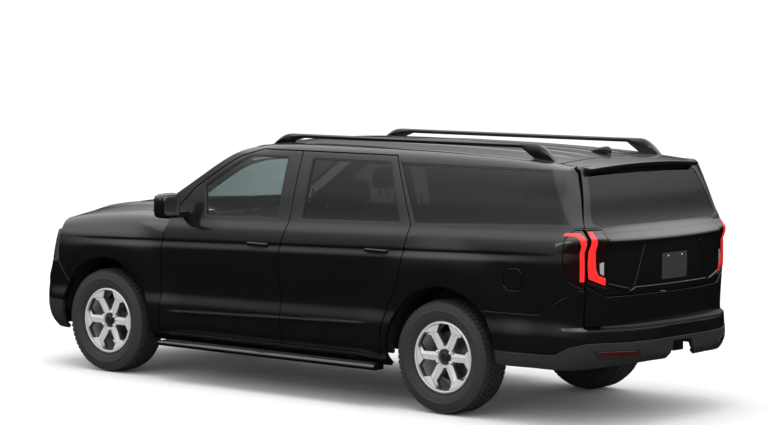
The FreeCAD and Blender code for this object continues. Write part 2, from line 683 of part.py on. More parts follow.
def box(name, x, y, z, length, width, height):
    feature = doc.addObject("Part::Box", name)
    return bind(feature, Length=length, Width=width, Height=height,
                Placement__Base__x=x, Placement__Base__y=y, Placement__Base__z=z)


def shape_object(name, shape):
    feature = doc.addObject("Part::Feature", name)
    feature.Shape = shape
    return feature


def fused(name, pieces):
    feature = doc.addObject("Part::MultiFuse", name)
    feature.Shapes = pieces
    return feature


def mirror_of(feature, name):
    mirror = doc.addObject("Part::Mirroring", name)
    mirror.Source = feature
    mirror.Normal = Vector(0, 1, 0)
    return mirror


def keep(feature, label):
    """Marks a feature as a finished sub-part."""
    feature.Label = label
    PARTS.append(feature)
    return feature


def pair(label, feature):
    """One sub-part made of a piece and its mirror image."""
    both = doc.addObject("Part::Compound", label)
    both.Links = [feature, mirror_of(feature, label + "_mirror")]
    return keep(both, label)


def node(label, shape):
    """A sub-part whose shape is worked out above."""
    return keep(shape_object(label, shape), label)


def both_sides(name, shape):
    """A left sub-part and its mirror image."""
    left = node(name + "_left", shape)
    keep(mirror_of(left, name + "_right"), name + "_right")


def plane(body, role):
    return next(item for item in body.Origin.OriginFeatures if item.Role == role)


def outline_sketch(body, name, role, points):
    """A closed sketch whose corners are held by expressions."""
    sketch = body.newObject("Sketcher::SketchObject", name)
    sketch.AttachmentSupport = [(plane(body, role), "")]
    sketch.MapMode = "FlatFace"
    points = [(as_length(a), as_length(b)) for a, b in points]
    corners = [Vector(a.value, b.value, 0) for a, b in points]
    for i, corner in enumerate(corners):
        sketch.addGeometry(Part.LineSegment(corner, corners[(i + 1) % len(corners)]))
    for i in range(len(corners)):
        sketch.addConstraint(Sketcher.Constraint("Coincident", i, 2, (i + 1) % len(corners), 1))
    for i, sizes in enumerate(points):
        for kind, size in zip(("DistanceX", "DistanceY"), sizes):
            place = sketch.addConstraint(Sketcher.Constraint(kind, -1, 1, i, 1, size.value))
            sketch.setExpression(f"Constraints[{place}]", size.text)
    return sketch


def revolved(body, name, sketch):
    feature = body.newObject("PartDesign::Revolution", name)
    feature.Profile = sketch
    feature.ReferenceAxis = (sketch, ["V_Axis"])
    return feature


def pocketed(body, name, sketch):
    """A hole right through a body, on both sides of its sketch."""
    feature = body.newObject("PartDesign::Pocket", name)
    feature.Profile = sketch
    feature.Type = "ThroughAll"
    feature.Midplane = True
    return feature


def repeated(body, name, feature, role, count):
    pattern = body.newObject("PartDesign::PolarPattern", name)
    pattern.Originals = [feature]
    pattern.Axis = (plane(body, role), [""])
    pattern.Occurrences = count
    body.Tip = pattern
    return pattern


# Outlines in the side view

arch_sides = 24
outboard = v.half_width + v.overrun
sky = v.roof_height + v.overrun
half_gap = v.shut_gap / 2
door_top = level(0.955)
window_top = level(side_height_shares[glass_row])


def belt(x):
    return side_rows(x)[0][belt_row]


def pane_low(x):
    """The lower edge of the side glass."""
    return belt(x) + 2 * v.shut_gap


def pillar_x(z, inset=0):
    """The rear edge of the windscreen pillar at a height."""
    return screen_x(side_y(0, z), z) - v.screen_pillar - inset


middle_height_shares = [0.42, 0.5426, 0.58, 0.6755]
middle_lean_shares = [0.0053, 0.0099, 0.0035, -0.0135]
middle_top_share = -0.016
middle_line = [(v.door_middle, v.sill_height)]
middle_line += [(v.door_middle + lean * front_x, level(z)) for z, lean in zip(middle_height_shares, middle_lean_shares)]
middle_line += [(v.door_middle + middle_top_share * front_x, door_top)]
arch_reach_shares = [1.24, 1.156, 1.114, 1.092]
arch_turns = [50, 33, 16, -4]
arch_line = []
for reach, turn in zip(arch_reach_shares, arch_turns):
    angle = math.radians(turn)
    arch_line.append((rear_axle + reach * v.arch_radius * math.cos(angle),
                      v.tyre_radius + reach * v.arch_radius * math.sin(angle)))
arch_line[-1] = (arch_line[-1][0], v.sill_height)
pillar_levels = scaled([0.787, 0.872, 0.9255], v.roof_height)
shut_line = [(v.door_front, v.sill_height), (v.door_front, level(0.5426)),
             (v.door_front - v.shut_lean, belt(v.door_front))]
front_door_cut = shut_line + [(pillar_x(z), z) for z in pillar_levels]
front_door_cut += [(pillar_x(door_top, v.frame_border), door_top)] + middle_line[::-1]
rear_door_cut = middle_line + [(v.door_rear + v.door_rear_top, door_top),
                               (v.door_rear - v.overrun / 2, belt(v.door_rear)),
                               (v.door_rear + v.overrun / 2, level(0.553))] + arch_line
window_levels = scaled([0.80, 0.872], v.roof_height)
front_pane = v.door_middle + v.pillar_front
front_foot = pillar_x(window_levels[0], 2 * v.frame_border)
front_window_cut = [(front_foot, pane_low(front_foot))]
front_window_cut += [(pillar_x(z, v.frame_border), z) for z in window_levels]
front_window_cut += [(pillar_x(window_top, v.frame_border + 2 * v.shut_gap), window_top), (front_pane, window_top),
                     (front_pane, pane_low(front_pane))]
rear_pane = v.door_middle - v.pillar_rear
rear_window_cut = [(rear_pane, pane_low(rear_pane)), (rear_pane, window_top),
                   (v.door_rear + v.rear_pane_top, window_top), (v.door_rear + v.rear_pane_foot, pane_low(v.door_rear))]
quarter_ends = scaled([-0.803, -0.884], front_x)
quarter_cut = [(v.door_rear + v.quarter_foot, pane_low(v.door_rear)), (v.door_rear + v.quarter_top, window_top),
               (quarter_ends[0], window_top), (quarter_ends[1], pane_low(quarter_ends[1]) + v.quarter_rise)]


def arch_cutter(axle, radius, inner=0):
    """A polygonal drum through a wheel arch."""
    return prism_xz(ring_points(radius, axle, v.tyre_radius, arch_sides), inner, outboard)


# Doors

def widest(x):
    """The widest half width of the body side at a station, below the belt."""
    return max(side_y(x, z) for z in stations(v.sill_height, belt(x), 24))


hinge_xs = {"front": v.door_front - v.hinge_back, "rear": v.door_middle - v.hinge_back}
hinge_ys = {where: widest(x) - v.hinge_depth for where, x in hinge_xs.items()}


def relief(where):
    """The space that a door's front edge sweeps about its hinge axis."""
    return prism_xy(ring_points(v.hinge_relief, hinge_xs[where], hinge_ys[where], 16), 0, sky)


def door(points, low, high, window):
    """A door: outer half, inner half a step smaller, thin window frame above the belt."""
    inside = prism_xz(grown(points, -v.door_step), 0, outboard)
    upper = block(rear_x, front_x, 0, outboard, belt(high), sky)
    skin = side_wall(low, high, 0, v.door_skin).common(prism_xz(points, 0, outboard))
    core = side_wall(low, high, v.door_skin / 2, v.door_thick).cut(upper).common(inside)
    rim = side_wall(low, high, v.door_skin / 2, v.frame_thick).common(inside)
    return main_solid(skin.fuse([core, rim]).cut(prism_xz(window, 0, outboard)))


def handle(x, z):
    """A pull handle on two feet."""
    y = side_y(x, z)
    half, height = v.handle_length / 2, v.handle_height / 2
    outer = y + v.handle_reach + v.handle_depth
    bar = prism_xz(bevelled(x - half, x + half, z - height, z + height, height / 2), y + v.handle_reach, outer)
    feet = [block(foot - height, foot + height, y - v.handle_reach, outer - v.handle_depth / 2,
                  z - height / 2, z + height / 2) for foot in (x - half + 2 * height, x + half - 2 * height)]
    return bar.fuse(feet)


def pane(points, low, high):
    """A side window that fills its opening."""
    slab = side_wall(low, high, v.glass_inset, v.glass_inset + v.glass_thick)
    return main_solid(slab.common(prism_xz(grown(points, -v.seat_gap), 0, outboard)))


front_door = door(grown(front_door_cut, -half_gap), v.door_middle, v.door_front, front_window_cut)
front_door = front_door.cut(relief("rear")).fuse(handle(v.handle_front, v.handle_level))
rear_door = door(grown(rear_door_cut, -half_gap), v.door_rear, v.door_middle, rear_window_cut)
rear_door = rear_door.fuse(handle(v.handle_rear, v.handle_level + v.handle_climb))
both_sides("front_door", main_solid(front_door))
both_sides("rear_door", main_solid(rear_door))
both_sides("front_window", pane(front_window_cut, v.door_middle, v.door_front))
both_sides("rear_window", pane(rear_window_cut, v.door_rear, v.door_middle))
quarter_pane = pane(quarter_cut, quarter_ends[1], v.door_rear + v.quarter_top)
pair("quarter_windows", shape_object("quarter_pane", quarter_pane))


def door_mirror():
    """A bevelled housing on a short arm."""
    near = v.half_width + v.mirror_stand
    far = near + v.mirror_width
    low, high = v.mirror_z - v.mirror_height / 2, v.mirror_z + v.mirror_height / 2
    back, front = v.mirror_x - v.mirror_depth / 2, v.mirror_x + v.mirror_depth / 2
    face = prism_yz(bevelled(near, far, low, high, v.mirror_bevel), back, front)
    plan = [(back, near), (back, far), (front - v.mirror_bevel, far), (front, far - 2 * v.mirror_bevel), (front, near)]
    arm = block(v.mirror_x - v.arm_depth / 2, v.mirror_x + v.arm_depth / 2, near - v.arm_reach,
                near + 2 * v.mirror_bevel, low, low + v.arm_height)
    door_side = side_wall(v.mirror_x - v.arm_depth, v.door_front, -v.seat_gap, 3 * v.door_thick)
    return main_solid(face.common(prism_xy(plan, low, high)).fuse(arm.cut(door_side)))


both_sides("mirror", door_mirror())


# Outlines in the rear view

def full_width(half_points):
    """A symmetric outline from its left half, listed from the top down."""
    return half_points + [(-y, z) for y, z in reversed(half_points)]


gate_foot, lamp_foot = scaled([0.4815, 0.5245], v.roof_height)
gate_side_shares = [(0.680, 0.985), (0.823, 0.735), (0.838, 0.63), (0.838, 0.5245)]
gate_side = [(y * v.half_width, level(z)) for y, z in gate_side_shares]
lamp_inner = 0.690 * v.half_width
gate_half = gate_side[-1][0]
gate_outline = full_width(gate_side + [(lamp_inner, gate_foot)])
drop_outline = full_width([(lamp_inner, gate_foot - v.gate_gap), (gate_half, lamp_foot - v.gate_gap),
                           (gate_half, v.tail_foot)])
core_top = v.gate_gap + v.gate_step
core_outline = full_width([(lamp_inner, gate_foot - core_top), (gate_half - v.gate_skin, lamp_foot - core_top),
                           (gate_half - v.gate_skin, v.tail_foot + v.gate_skin)])
opening_side_shares = [(0.712, 0.985), (0.835, 0.735), (0.842, 0.63), (0.838, 0.5245)]
opening_side = [(y * v.half_width, level(z)) for y, z in opening_side_shares]
rear_opening = full_width(opening_side + [(gate_half, v.tail_foot)])
glass_shares = [(0.60, 0.917), (0.66, 0.902), (0.755, 0.742), (0.70, 0.730)]
rear_window_outline = full_width([(y * v.half_width, level(z)) for y, z in glass_shares])
gate_lamp_outline = [(lamp_inner, level(0.719)), (outboard, level(0.719)), (outboard, level(0.5354)),
                     (lamp_inner, level(0.510))]

# Lamp and bumper seams in the side view
tail_lamp_shares = [(-1.02, 0.719), (-0.896, 0.719), (-0.880, 0.686), (-0.880, 0.601), (-0.893, 0.537),
                    (-0.919, 0.510), (-1.02, 0.510)]
tail_lamp_cut = [(x * front_x, level(z)) for x, z in tail_lamp_shares]
bumper_seam_shares = [(-0.514, 0.400), (-0.811, 0.4096), (-0.834, 0.432), (-0.908, 0.504), (-1.05, 0.504)]
bumper_seam = [(x * front_x, level(z)) for x, z in bumper_seam_shares]
front_seam_shares = [(0.67, 0.372), (0.824, 0.372), (0.8659, 0.447), (1.05, 0.447)]
front_seam = [(x * front_x, level(z)) for x, z in front_seam_shares]
under = v.rocker_height / 2
rear_bumper_zone = bumper_seam + [(bumper_seam[-1][0], under), (bumper_seam[0][0], under)]
front_bumper_zone = front_seam + [(front_seam[-1][0], under), (front_seam[0][0], under)]
fuel_half = v.fuel_side / 2
fuel_outline = bevelled(v.fuel_x - fuel_half, v.fuel_x + fuel_half, v.fuel_z - fuel_half, v.fuel_z + fuel_half,
                        v.fuel_bevel)
fuel_span = (v.fuel_x - fuel_half, v.fuel_x + fuel_half)


screen_level_shares = [0.55, 0.62, 0.68, 0.72, 0.771, 0.835, 0.87, 0.904, 0.936, 0.957, 0.971, 0.985, 1.0, 1.05]


def screen_slab(near, far, low_share=0.55, high_share=1.05):
    """The windscreen's surface, as a slab from one distance ahead of it to another."""
    heights = spanning(scaled(screen_level_shares, v.roof_height), level(low_share), level(high_share))
    grid = [[Vector(screen_x(y, z), y, z) for z in heights] for y in stations(-outboard, outboard, 9)]
    return wall_between(moved(grid, near, 0, 0), moved(grid, far, 0, 0))


def tail_grid(z_low, z_high, depth):
    return end_grid(tail_x, -1, corner_station_share * front_x, z_low, z_high, depth)


def tail_wall(z_low, z_high, near, far):
    return wall_between(tail_grid(z_low, z_high, near), tail_grid(z_low, z_high, far))


def behind(points):
    """An outline in the rear view, through the tail."""
    return prism_yz(points, rear_x - v.overrun, v.gate_hinge_x)


# Body side: pillars, cant rail, sill and quarter panel

roof_columns = scaled([-0.90, -0.84, -0.79, -0.72, -0.60, -0.40, -0.15, 0.035, 0.106, 0.15, 0.20, 0.26], front_x)

screen_low, screen_high = scaled([0.690, 0.968], v.roof_height)
screen_outline = full_width([(0.655 * v.half_width, screen_high), (0.785 * v.half_width, screen_low)])


def body_shell():
    """The whole skin from the front door's hinge pillar round to the tail, with its openings."""
    grid = side_columns(-corner_station_share * front_x, v.door_front + v.overrun, side_rows)[:0:-1]
    heights = side_rows(-corner_station_share * front_x)[0]
    outer, inner = [wrapped_grid(grid, tail_x, -1, heights, depth, side_rows)[::-1] for depth in (0, v.skin)]
    shell = wall_between(outer, inner)
    foot = bonnet_edge(v.door_front) + v.seat_gap
    ahead = [(x + half_gap, z) for x, z in shut_line]
    ahead = [(ahead[0][0], 0)] + ahead + [(ahead[-1][0], foot), (front_x, foot), (front_x, 0)]
    pocket = prism_xz(grown(fuel_outline, v.shut_gap), 0, outboard).common(
        side_wall(*fuel_span, -v.overrun, v.skin / 2))
    lamp = prism_xz(grown(tail_lamp_cut, half_gap), lamp_inner, outboard)
    return shell.cut([prism_xz(grown(front_door_cut, half_gap), 0, outboard),
                      prism_xz(grown(rear_door_cut, half_gap), 0, outboard),
                      prism_xz(quarter_cut, 0, outboard), prism_xz(ahead, 0, outboard),
                      arch_cutter(rear_axle, v.arch_radius), behind(grown(rear_opening, v.shut_gap)), lamp,
                      prism_xz(grown(rear_bumper_zone, half_gap), 0, outboard), pocket])


def windscreen_pillar():
    """The pillar beside the windscreen, flush with the glass and behind its edge."""
    depth = v.door_thick + v.jamb_depth
    post = side_wall(0, 0.58 * front_x, v.skin / 2, depth).common(screen_slab(0, -v.screen_frame))
    return post.cut(block(0, front_x, 0, outboard, 0, bonnet_edge(v.door_front) + v.seat_gap))


def wing_space(x_low, x_high):
    """Everything outside a wing's inner face."""
    grid = side_columns(x_low, x_high, wing_rows)
    return wall_between(moved(grid, 0, v.half_width, 0), moved(grid, 0, -v.wing_thick - v.seat_gap, -v.wing_thick))


def jambs():
    """The pillars and sill inside the doors, against which they seal, and the rocker below."""
    near, far = v.door_thick + v.seat_gap, v.door_thick + v.jamb_depth
    front_end, rear_end = hinge_xs["front"] + v.hinge_relief, rear_axle + v.arch_radius + v.overrun
    inner = side_wall(v.door_rear - v.jamb_width, v.door_front + v.jamb_width, near, far)
    base, top = v.rocker_height + v.overrun, v.floor_height + v.floor_thick + v.shut_gap
    pillar_top = belt(v.door_front) - v.overrun / 2
    middle = v.door_middle + v.jamb_lap / 2
    zones = [block(rear_end, front_end, 0, outboard, base, top),
             block(middle, middle + v.jamb_width, 0, outboard, base, pillar_top),
             block(front_end - v.jamb_width / 2, front_end + v.jamb_width / 2, 0, outboard, base, level(0.64))]
    low, high = rear_axle + v.arch_radius + v.shut_gap, front_axle - v.arch_radius - v.shut_gap
    rocker = side_wall(low, high, v.skin / 4, v.rocker_depth)
    rocker = rocker.common(block(low, high, 0, outboard, v.rocker_height + v.shut_gap, v.sill_height - v.shut_gap))
    wing_rear = block(v.door_front - half_gap, front_x, 0, outboard, 0, sky)
    rocker = rocker.cut(wing_space(v.door_front, high).common(wing_rear))
    web = side_wall(v.door_front, v.door_front + v.jamb_width, v.wing_thick / 2, far)
    web = web.common(block(front_end + v.jamb_width / 4, front_end + v.jamb_width / 2, 0, outboard, base,
                           level(0.53))).cut(wing_space(v.door_front, v.door_front + v.jamb_width))
    post = side_wall(v.door_rear - v.jamb_width, v.door_rear, v.skin / 2, far)
    edge = v.door_rear - v.shut_gap
    post = post.common(block(edge - v.jamb_lap, edge, 0, outboard, level(0.47), pillar_top))
    seal = block(edge - v.jamb_lap, edge + v.jamb_lap, 0, outboard, level(0.47), pillar_top)
    return [inner.common(zones[0].fuse(zones[1:] + [seal])), rocker, web, post]


def gate_seat():
    """The flange round the rear opening that both gates close against."""
    low, high, depth = v.tail_foot + v.gate_skin, level(0.82), v.gate_wall + v.seat_gap
    ring = wall_between(tail_grid(low, high, v.skin / 2), moved(tail_grid(low, high, depth), v.gate_flange, 0, 0))
    ring = ring.common(behind(grown(rear_opening, v.overrun)))
    ring = ring.common(block(rear_x, 0, lamp_inner, outboard, low, high))
    ring = ring.cut(behind(grown(rear_opening, -v.gate_flange)))
    recess = tail_wall(low, high, -v.overrun, depth).common(behind(grown(rear_opening, v.shut_gap)))
    lamp = tail_wall(low, high, -v.overrun, v.skin + v.seat_gap)
    lamp = lamp.common(prism_xz(grown(tail_lamp_cut, half_gap), lamp_inner, outboard))
    bumper = prism_xz(grown(rear_bumper_zone, half_gap), gate_half + v.shut_gap, outboard)
    return ring.cut(recess).cut(lamp).cut(bumper)


def body_side():
    roof_xs = roof_columns + [0.5 * front_x]
    roof_zone = [(x, roof_half(x)) for x in roof_xs] + [(roof_xs[-1], 0), (roof_xs[0], 0)]
    glass = screen_slab(v.overrun, -v.screen_thick - v.seat_gap).common(
        prism_yz(grown(screen_outline, v.seat_gap), 0, front_x))
    whole = body_shell()
    for piece in jambs() + [windscreen_pillar(), gate_seat()]:
        whole = whole.fuse(piece)
    for space in [prism_xy(roof_zone, window_top - v.seat_gap, sky), screen_slab(0, front_x), glass, relief("front")]:
        whole = whole.cut(space)
    return main_solid(whole)


both_sides("body_side", body_side())


def fuel_door():
    """A plate on a boss that rests on the floor of its recess."""
    plate = side_wall(*fuel_span, 0, v.fuel_thick).common(prism_xz(fuel_outline, 0, outboard))
    post = side_wall(*fuel_span, v.fuel_thick / 2, v.skin / 2 - v.seat_gap)
    return main_solid(plate.fuse(post.common(prism_xz(grown(fuel_outline, -v.fuel_bevel), 0, outboard))))


node("fuel_door", fuel_door())


# Roof panel and its fin
def roof_grid(low, high, inset, rise=0):
    grid = []
    for x in spanning(roof_columns, low, high):
        half = roof_half(x) - inset
        grid.append([Vector(x, y, roof_z(x, y) + rise) for y in stations(-half, half, 7)])
    return grid


def roof():
    low = v.gate_hinge_x - v.gate_edge + v.shut_gap
    grid = roof_grid(low, 0.26 * front_x, v.seat_gap)
    panel = wall_between(grid, moved(grid, 0, 0, -v.roof_thick))
    panel = panel.cut([screen_slab(-v.screen_thick - v.seat_gap, front_x, 0.8),
                       block(rear_x, low, -outboard, outboard, 0, sky)])
    top = roof_z(v.fin_x, 0)
    rear = v.fin_x - v.fin_length
    sunk = v.roof_thick / 2
    fin = prism_xz([(v.fin_x, top - sunk), (rear, roof_z(rear, 0) - sunk), (rear, top + 0.9 * v.fin_height),
                    (rear + v.fin_length / 4, top + v.fin_height)], -v.fin_width / 2, v.fin_width / 2)
    return main_solid(panel.fuse(fin))


node("roof", roof())
glass_slab = screen_slab(0, -v.screen_thick, 0.65, 1)
node("windscreen", main_solid(glass_slab.common(prism_yz(screen_outline, 0, front_x))))


# Cowl under the windscreen's lower edge
cowl_half = 0.70 * v.half_width
cowl_ys = stations(-cowl_half, cowl_half, 9)


def screen_band(back, ahead, z_low, z_high):
    """A band in plan along the windscreen's lower edge."""
    rear = [(screen_x(y, screen_low) - back, y) for y in cowl_ys]
    front = [(screen_x(y, screen_low) + ahead, y) for y in reversed(cowl_ys)]
    return prism_xy(rear + front, z_low, z_high)


cowl_top = screen_low - v.seat_gap
node("cowl", main_solid(screen_band(v.skin, v.skin / 2, cowl_top - v.cowl_depth, cowl_top)))


# Wings, bonnet and nose
def bonnet_zone(inset):
    """The bonnet's plan outline, extruded upwards."""
    xs = stations(0.45 * front_x, 1.01 * front_x, 12)
    left = [(x, bonnet_half(x) - inset) for x in xs]
    return prism_xy(left + [(x, -y) for x, y in reversed(left)], level(0.5), sky)


def bonnet_grid(low, high, y_low, y_high, count):
    """Points of the bonnet between two distances from its centre line."""
    grid = []
    for x in spanning(scaled(side_station_shares, front_x), low, high):
        half = bonnet_half(x)
        grid.append([Vector(x, y, bonnet_z(x, y)) for y in stations(y_low(half), y_high(half), count)])
    return grid


def wing():
    """A wing with the ledge that the bonnet rests on."""
    grid = side_columns(v.door_front, v.wing_end, wing_rows)
    shell = wall_between(grid, moved(grid, 0, -v.wing_thick, -v.wing_thick))
    shell = shell.cut(bonnet_zone(0))
    ledge = bonnet_grid(v.door_front, v.wing_end, lambda half: half - v.bonnet_lap, lambda half: half + v.skin, 2)
    ledge = wall_between(moved(ledge, 0, 0, -v.wing_thick / 2), moved(ledge, 0, 0, -v.skin - v.wing_thick / 2))
    space = bonnet_grid(v.door_front, v.wing_end, lambda half: -half, lambda half: half, 7)
    space = wall_between(moved(space, 0, 0, v.skin), moved(space, 0, 0, -v.skin - v.seat_gap))
    behind_wing = grown([(0, 0), (v.door_front, 0)] + shut_line[1:] + [(shut_line[-1][0], sky), (0, sky)], half_gap)
    lip = screen_slab(v.bonnet_clear - v.shut_gap, -front_x)
    return main_solid(shell.fuse(ledge.cut([space, lip])).cut([
        arch_cutter(front_axle, v.arch_radius), prism_xz(behind_wing, 0, outboard),
        prism_xz(grown(front_bumper_zone, half_gap), 0, outboard), relief("front"),
        block(v.wing_end, front_x, 0, outboard, 0, sky), block(0, front_x, 0, outboard, 0, v.rocker_height)]))


both_sides("wing", wing())
bonnet_end = 0.955 * front_x
panel = bonnet_grid(0.54 * front_x, bonnet_end, lambda half: v.shut_gap - half, lambda half: half - v.shut_gap, 7)
panel = wall_between(panel, moved(panel, 0, 0, -v.skin)).cut(block(bonnet_end, front_x, -outboard, outboard, 0, sky))
node("bonnet", main_solid(panel.cut(screen_slab(v.bonnet_clear, -front_x))))
nose_top = bonnet_edge(bonnet_end) - v.skin - v.shut_gap
nose_span = (nose_x, 1, 0.66 * front_x, v.rocker_height, nose_top)
nose = wall_between(end_grid(*nose_span, 0, wing_rows), end_grid(*nose_span, v.nose_wall, wing_rows))
front_drum = arch_cutter(front_axle, v.arch_radius)
nose = nose.cut([front_drum, mirrored(front_drum)])


def rail_arms(near, far, base):
    """Two arms from a bumper to the ends of the chassis rails."""
    arm = block(min(near, far), max(near, far), v.frame_half - v.arm_size / 2, v.frame_half + v.arm_size / 2,
                base, base + v.arm_size)
    return [arm, mirrored(arm)]


bumper_zone = prism_xz(grown(front_bumper_zone, -half_gap), -outboard, outboard)
front_arms = rail_arms(v.frame_front + v.seat_gap, nose_x(v.frame_half, v.frame_base) - v.nose_wall / 2,
                       v.frame_base + v.shut_gap)
node("front_bumper", main_solid(nose.common(bumper_zone).fuse(front_arms)))
lamp_low = front_seam[-1][1] - half_gap + v.seat_gap
head_inner = 0.552 * v.half_width
upper_zone = block(v.wing_end + v.shut_gap, front_x + v.overrun, -outboard, outboard, lamp_low, nose_top)
upper = nose.common(upper_zone)
half_grille = head_inner - v.seat_gap
grille = upper.common(block(0, front_x + v.overrun, -half_grille, half_grille, 0, sky))
bar_count = 4
bar = (nose_top - lamp_low) / (2 * bar_count + 1)
slots = []
for i in range(bar_count):
    slot_low = lamp_low + (2 * i + 1) * bar
    slots.append(block(0, front_x + v.overrun, -0.9 * head_inner, 0.9 * head_inner, slot_low, slot_low + bar))
node("grille", main_solid(grille.cut(slots)))
head_lamp = main_solid(upper.common(block(0, front_x + v.overrun, head_inner, outboard, 0, sky)))
pair("head_lamps", shape_object("head_lamp", head_lamp))


# Liftgate with its spoiler, drop gate, tail lamps and rear bumper

def spoiler():
    """The roof's continuation beyond the gap, shorter towards its ends."""
    grid = roof_grid(-0.90 * front_x, v.gate_hinge_x, v.shut_gap)
    short = [1, 0.6, 0.2, 0, 0.2, 0.6, 1]
    grid[0] = [Vector(p.x + back * v.spoiler_drop, p.y, p.z) for p, back in zip(grid[0], short)]
    return wall_between(grid, moved(grid, 0, 0, -v.spoiler_thick))


def liftgate():
    shell = tail_wall(gate_foot, level(0.95), 0, v.gate_wall).common(behind(gate_outline))
    depth = tail_wall(level(0.46), level(0.76), -v.overrun, v.lamp_depth)
    depth = depth.common(behind(gate_lamp_outline))
    clear = prism_xz(ring_points(v.gate_edge + half_gap, v.gate_hinge_x, v.gate_hinge_z, 24), -outboard, outboard)
    front = block(v.gate_hinge_x - v.gate_edge, 0, -outboard, outboard, 0, sky)
    above = roof_grid(-0.90 * front_x, v.gate_hinge_x, -v.overrun, -v.spoiler_thick / 4)
    above = wall_between(above, moved(above, 0, 0, 2 * v.overrun))
    shell = main_solid(shell.cut([behind(rear_window_outline), depth, mirrored(depth), above]))
    return main_solid(shell.fuse(spoiler()).cut([clear, front]))


node("liftgate", liftgate())
glass_wall = tail_wall(level(0.70), level(0.95), v.glass_inset, v.glass_inset + v.glass_thick)
node("rear_glass", main_solid(glass_wall.common(behind(grown(rear_window_outline, -v.seat_gap)))))
gate_lamp = tail_wall(level(0.46), level(0.76), 0, v.lamp_depth - v.seat_gap)
gate_lamp = gate_lamp.common(behind(grown(gate_outline, -v.seat_gap)))
gate_lamp = gate_lamp.common(behind(grown(gate_lamp_outline, -v.seat_gap)))
pair("gate_lamps", shape_object("gate_lamp", main_solid(gate_lamp)))
drop_skin = tail_wall(v.tail_foot, lamp_foot, 0, v.gate_skin).common(behind(drop_outline))
drop_core = tail_wall(v.tail_foot, lamp_foot, v.gate_skin / 2, v.gate_wall).common(behind(core_outline))
node("drop_gate", main_solid(drop_skin.fuse(drop_core)))
tail_lamp = tail_wall(level(0.48), level(0.75), 0, v.skin)
tail_lamp = tail_lamp.common(prism_xz(grown(tail_lamp_cut, half_gap - v.seat_gap), lamp_inner, outboard))
pair("tail_lamps", shape_object("tail_lamp", main_solid(tail_lamp.cut(behind(grown(rear_opening, v.shut_gap))))))


def rear_bumper():
    """The wall round the tail with its step, cut for the gate, the wheels and the hitch."""
    low, high = v.bumper_base, bumper_seam[-1][1]
    heights = [low, low + v.step_depth, v.bumper_top, v.bumper_top + v.shut_gap]
    heights += stations(heights[-1], high, 4)[1:]
    corner = corner_station_share * front_x
    xs = [x for x in scaled(side_station_shares, front_x) if -corner + v.overrun < x < bumper_seam[0][0]]
    side_grid = [[Vector(x, side_y(x, z), z) for z in heights] for x in reversed(xs)]
    wall = wrapped_wall(side_grid, bumper_x, -1, heights, 0, v.nose_wall, side_rows, True)
    wall = wall.common(prism_xz(grown(rear_bumper_zone, -half_gap), -outboard, outboard))
    floor = v.bumper_top + v.shut_gap
    opening = full_width([(gate_half + v.shut_gap, high + v.overrun), (gate_half + v.shut_gap, floor)])
    drum = arch_cutter(rear_axle, v.arch_radius)
    wall = wall.cut([behind(opening), drum, mirrored(drum),
                     block(rear_x - v.step_depth, 0, -v.notch_half, v.notch_half, 0, v.notch_top)])
    arms = rail_arms(bumper_x(v.frame_half, v.frame_tail) + v.nose_wall / 2, v.frame_rear - v.seat_gap,
                     v.frame_tail + v.shut_gap)
    return main_solid(wall.fuse(arms))


node("rear_bumper", rear_bumper())


# Roof rails, cut to sit on the roof
def roof_rail():
    low, top, buried = v.rail_top - v.rail_bar, v.rail_top, level(0.95)
    start, end, foot = v.rail_start, v.rail_end, v.rail_foot
    side = [(start, buried), (start - 0.8 * foot, top), (end + 0.8 * foot, top), (end, buried),
            (end + 0.8 * foot, buried), (end + 1.3 * foot, low), (start - 1.3 * foot, low), (start - 0.8 * foot, buried)]
    rail = prism_xz(side, v.rail_half - v.rail_width / 2, v.rail_half + v.rail_width / 2)
    grid = roof_grid(v.gate_hinge_x, 0.26 * front_x, 0, v.seat_gap)
    return main_solid(rail.cut(wall_between(grid, moved(grid, 0, 0, -v.roof_height / 10))))


pair("roof_rails", shape_object("roof_rail", roof_rail()))


# Running boards and their brackets
def running_board():
    outer, low, high = v.board_reach, v.board_height, v.board_height + v.board_thick
    inner = outer - v.board_width
    board = prism_yz([(inner, low), (outer - v.board_bevel, low), (outer, low + v.board_bevel),
                      (outer, high - v.board_bevel), (outer - v.board_bevel, high), (inner, high)],
                     v.board_rear, v.board_front)
    web = v.frame_half + v.frame_width / 2 + v.seat_gap
    pieces = []
    for x in stations(v.board_rear + 6 * v.bracket_width, v.board_front - 6 * v.bracket_width, 3):
        span = (x - v.bracket_width / 2, x + v.bracket_width / 2)
        pieces.append(block(*span, web, inner + v.board_bevel, low, low + v.bracket_thick))
        pieces.append(block(*span, web, web + v.bracket_thick, low, v.frame_base + v.bracket_width))
    return main_solid(board.fuse(pieces))


pair("running_boards", shape_object("running_board", running_board()))


# Wheel arch liners, trimmed to the panels
def arch_liner(axle, inner, panels):
    radius = v.arch_radius + v.seat_gap
    tub = arch_cutter(axle, radius + v.liner_wall, inner).cut(arch_cutter(axle, radius, inner + v.liner_wall))
    reach = 2 * v.arch_radius
    skirt = v.tyre_radius + v.liner_skirt
    window = block(axle - reach, axle + reach, 0, outboard, 0, v.tyre_radius + v.liner_window)
    return main_solid(tub.cut([block(axle - reach, axle + reach, 0, outboard, 0, skirt),
                               arch_cutter(axle, radius).common(window)] + panels))


